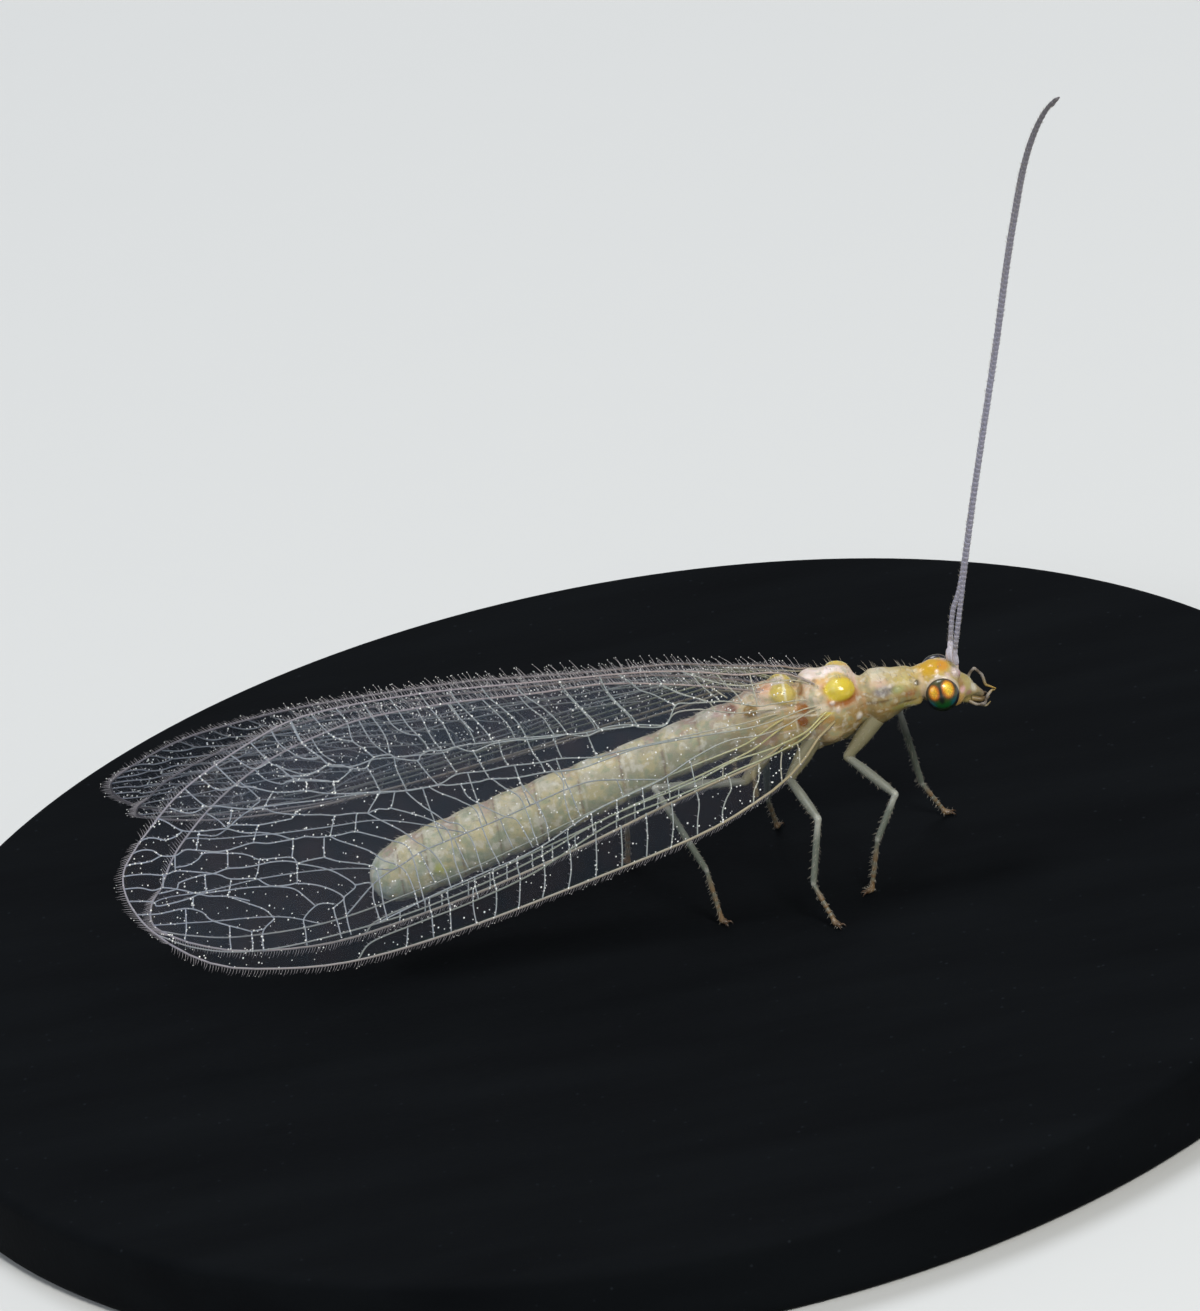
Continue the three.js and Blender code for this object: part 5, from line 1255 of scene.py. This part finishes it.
def vein_lines(wing, net, side, shade, rng):
    """The veins as lines for strands(), and the short bristles that stand on every vein."""
    shortest_step, hair_spacing = 0.002, 0.15
    lines, growth = [], []
    for kind, stops in net:
        line = []
        walked = 0.0
        last = None
        for s, v in stops:
            at = wing.place(s, v, side)
            if last is not None and (at - last).length < shortest_step:
                continue
            tone = blend_colours(vein_stops.get(kind, net_tones), s) * shade
            line.append((tuple(at), vein_radius(kind, s), tuple(tone)))
            if last is not None:
                walked += (at - last).length
                if walked > hair_spacing:
                    walked -= hair_spacing * rng.uniform(0.8, 1.2)
                    out = wing.outward(s, v, side)
                    heading = (out + Vector((-0.5, 0, 0.3)) + shaken(rng, 0.25)).normalized()
                    growth.append((bristle(at, heading, rng.uniform(0.07, 0.11), 0.004, hair_tone), (s, v)))
            last = at
        lines.append(line)
    return lines, growth


def fringe(wing, side, rng):
    """A close fringe along the whole margin that leans towards the tip, with a painted glint speck on some of
    its hairs.
    """
    inset, glinting_share = 0.02, 0.3
    margin = [(p / 240, 0.0) for p in range(241)]
    margin += [(1.0, p / 50) for p in range(51)]
    margin += [(1 - p / 230, 1.0) for p in range(231)]
    growth = []
    for s, v in margin:
        at = wing.place(s, v, side)
        inner_s = s - inset if s == 1 else s
        inner_v = v + inset if v == 0 else v - inset if v == 1 else v
        away = (at - wing.place(inner_s, inner_v, side)).normalized()
        heading = away + Vector((-0.6, 0, 0.2 * smoothstep(v, 0.5, 1))) + shaken(rng, 0.12)
        hair = bristle(at, heading.normalized(), rng.uniform(0.1, 0.17), 0.005, hair_tone)
        growth.append((hair, (s, v)))
        if rng.random() < glinting_share:
            root_or_tip = Vector(hair[rng.choice((0, 3))][0])
            growth.append((glint_speck(root_or_tip, rng.uniform(0.007, 0.011)), (s, v)))
    return growth


def ridge_bristles(wing, side, rng):
    """Longer, paler bristles along the ridge from the thorax past the middle, each with a painted glint
    speck.
    """
    count, first, spacing = 80, 0.02, 0.0095
    growth = []
    for step in range(count):
        s = first + step * spacing + rng.uniform(-0.004, 0.004)
        at = wing.place(s, 1, side)
        away = (at - wing.place(s, 0.98, side)).normalized()
        heading = (away * 0.7 + Vector((-0.3, 0, 0.75)) + shaken(rng, 0.35)).normalized()
        length = rng.uniform(0.13, 0.3) * (1 - 0.4 * smoothstep(s, 0.4, 0.8))
        hair = bristle(at, heading, length, 0.006, ridge_hair_tone)
        growth.append((hair, (s, 1)))
        growth.append((glint_speck(Vector(hair[-1][0]), rng.uniform(0.007, 0.011)), (s, 1)))
    return growth


def scatter_glint_specks(wing, net, side, count, rng):
    """Near-white specks that are painted glints, half of them on the film and half along the veins."""
    growth = []
    for _ in range(count):
        if rng.random() < 0.5:
            _, stops = rng.choice(net)
            s, v = rng.choice(stops)
        else:
            s, v = rng.uniform(0.05, 1), rng.uniform(0, 1)
        at = wing.place(s, v, side, 0.02) + shaken(rng, 0.02)
        growth.append((glint_speck(at, rng.uniform(0.01, 0.013) + 0.01 * rng.random() ** 3), (s, v)))
    return growth


wing_kinds = {
    "forewing": (forewing, fore_veins, fore_cells, fore_costals, [], 1300),
    "hindwing": (hindwing, hind_veins, hind_cells, [], hind_rows, 260),
}
for wing_name, (wing, veins, cells, costals, rows, glint_speck_count) in wing_kinds.items():
    for side_name, side in (("right", -1), ("left", 1)):
        rng = random.Random(f"{wing_name} {side_name}")
        membrane = wing_film(wing, side, f"{wing_name}_{side_name}_film")
        membrane.data.materials.append(films[side_name])
        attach(membrane, "root")
        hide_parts(f"{wing_name}_{side_name}")

        net = vein_net(veins, cells, costals, rows, side)
        net.append(("edge", [(p / 120, 1.0) for p in range(121)]))
        net.append(("edge", [(1.0, p / 40) for p in range(41)]))
        lines, growth = vein_lines(wing, net, side, painted_vein_shades[side_name], rng)
        growth += fringe(wing, side, rng)
        growth += ridge_bristles(wing, side, rng)
        growth += scatter_glint_specks(wing, net, side, glint_speck_count, rng)
        vein_piece = strands(f"{wing_name}_{side_name}_veins", lines, 1)
        vein_piece.data.materials.append(vein_chitin)
        hair_piece = joined_hairs(f"{wing_name}_{side_name}_bristles", growth)
        for piece in (vein_piece, hair_piece):
            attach(piece, "root")

# Body bristles: fine pale hairs, longest on the pronotum and the back of the thorax, short and sparse
# on the abdomen, and set all round the legs and feelers, pointing to their tips.
# A zone is its name, where it starts and ends, how many hairs it has, and the shortest and longest.
body_zones = [
    ("abdomen", -6.2, 0.7, 1300, 0.05, 0.08), ("thorax", 0.9, 3.3, 260, 0.08, 0.16),
    ("pronotum", 3.4, 4.35, 110, 0.1, 0.2), ("head", 4.4, 5.5, 90, 0.05, 0.09),
]
body_hair, body_hair_radius = linear("a8a294"), 0.004
rng = random.Random("body bristles")
growth = []
for zone_name, low, high, count, shortest, longest in body_zones:
    inside = [i for i, place in enumerate(skin_places) if low < place.x < high]
    for index in rng.sample(inside, count):
        place, normal = skin_places[index], skin_normals[index]
        upward = smoothstep(normal.z, 0, 0.9)
        if zone_name != "abdomen" and rng.random() > 0.25 + 0.75 * upward:
            continue
        lean = Vector((-0.9, 0, -0.1)) if zone_name == "abdomen" else Vector((-0.35, 0, 0.2))
        heading = (normal + lean + shaken(rng, 0.3)).normalized()
        length = rng.uniform(shortest, longest) * (0.6 + 0.4 * upward)
        hair = bristle(place - normal * 0.01, heading, length, body_hair_radius, body_hair)
        around = math.atan2(place.y, place.z - abdomen_height) / math.tau + 0.5
        growth.append((hair, ((place.x + 6.3) / 12.2, around)))
body_bristles = joined_hairs("body_bristles", growth)
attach(body_bristles, "root")


def limb_hairs(line, spacing, length, radius, lean, rng):
    """Bristles round a limb, leaning towards its end by a share of their length."""
    grown = []
    walked = 0.0
    for (start, thick, _), (end, _, _) in zip(line, line[1:]):
        heading = Vector(end) - Vector(start)
        if heading.length < 1e-6:
            continue
        walked += heading.length
        while walked > spacing:
            walked -= spacing
            turn = rng.uniform(0, math.tau)
            across = heading.orthogonal().normalized()
            across.rotate(Matrix.Rotation(turn, 3, heading.normalized()))
            at = Vector(start) + heading * rng.random() + across * thick * 0.9
            direction = (across + heading.normalized() * lean).normalized()
            grown.append(bristle(at, direction, length * rng.uniform(0.8, 1.2), radius, body_hair))
    return grown


whip_step, whip_girth = 0.02, 0.05
growth = []
for leg_index, line in enumerate(leg_lines.values()):
    grown = limb_hairs(line[12:], 0.016, 0.07, 0.0032, 0.9, rng)
    growth += [(hair, ((leg_index + 0.5) / 9, row / len(grown))) for row, hair in enumerate(grown)]
for whip_index, (path, lengths) in enumerate(whips.values()):
    steps = range(15, int(lengths[-1] / whip_step))
    line = [(tuple(along_path(path, lengths, step * whip_step)), whip_girth, None) for step in steps]
    grown = limb_hairs(line, 0.014, 0.045, 0.0028, 1.4, rng)
    growth += [(hair, ((whip_index + 7) / 9.5, row / len(grown))) for row, hair in enumerate(grown)]
limb_bristles = joined_hairs("limb_bristles", growth)
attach(limb_bristles, "root")
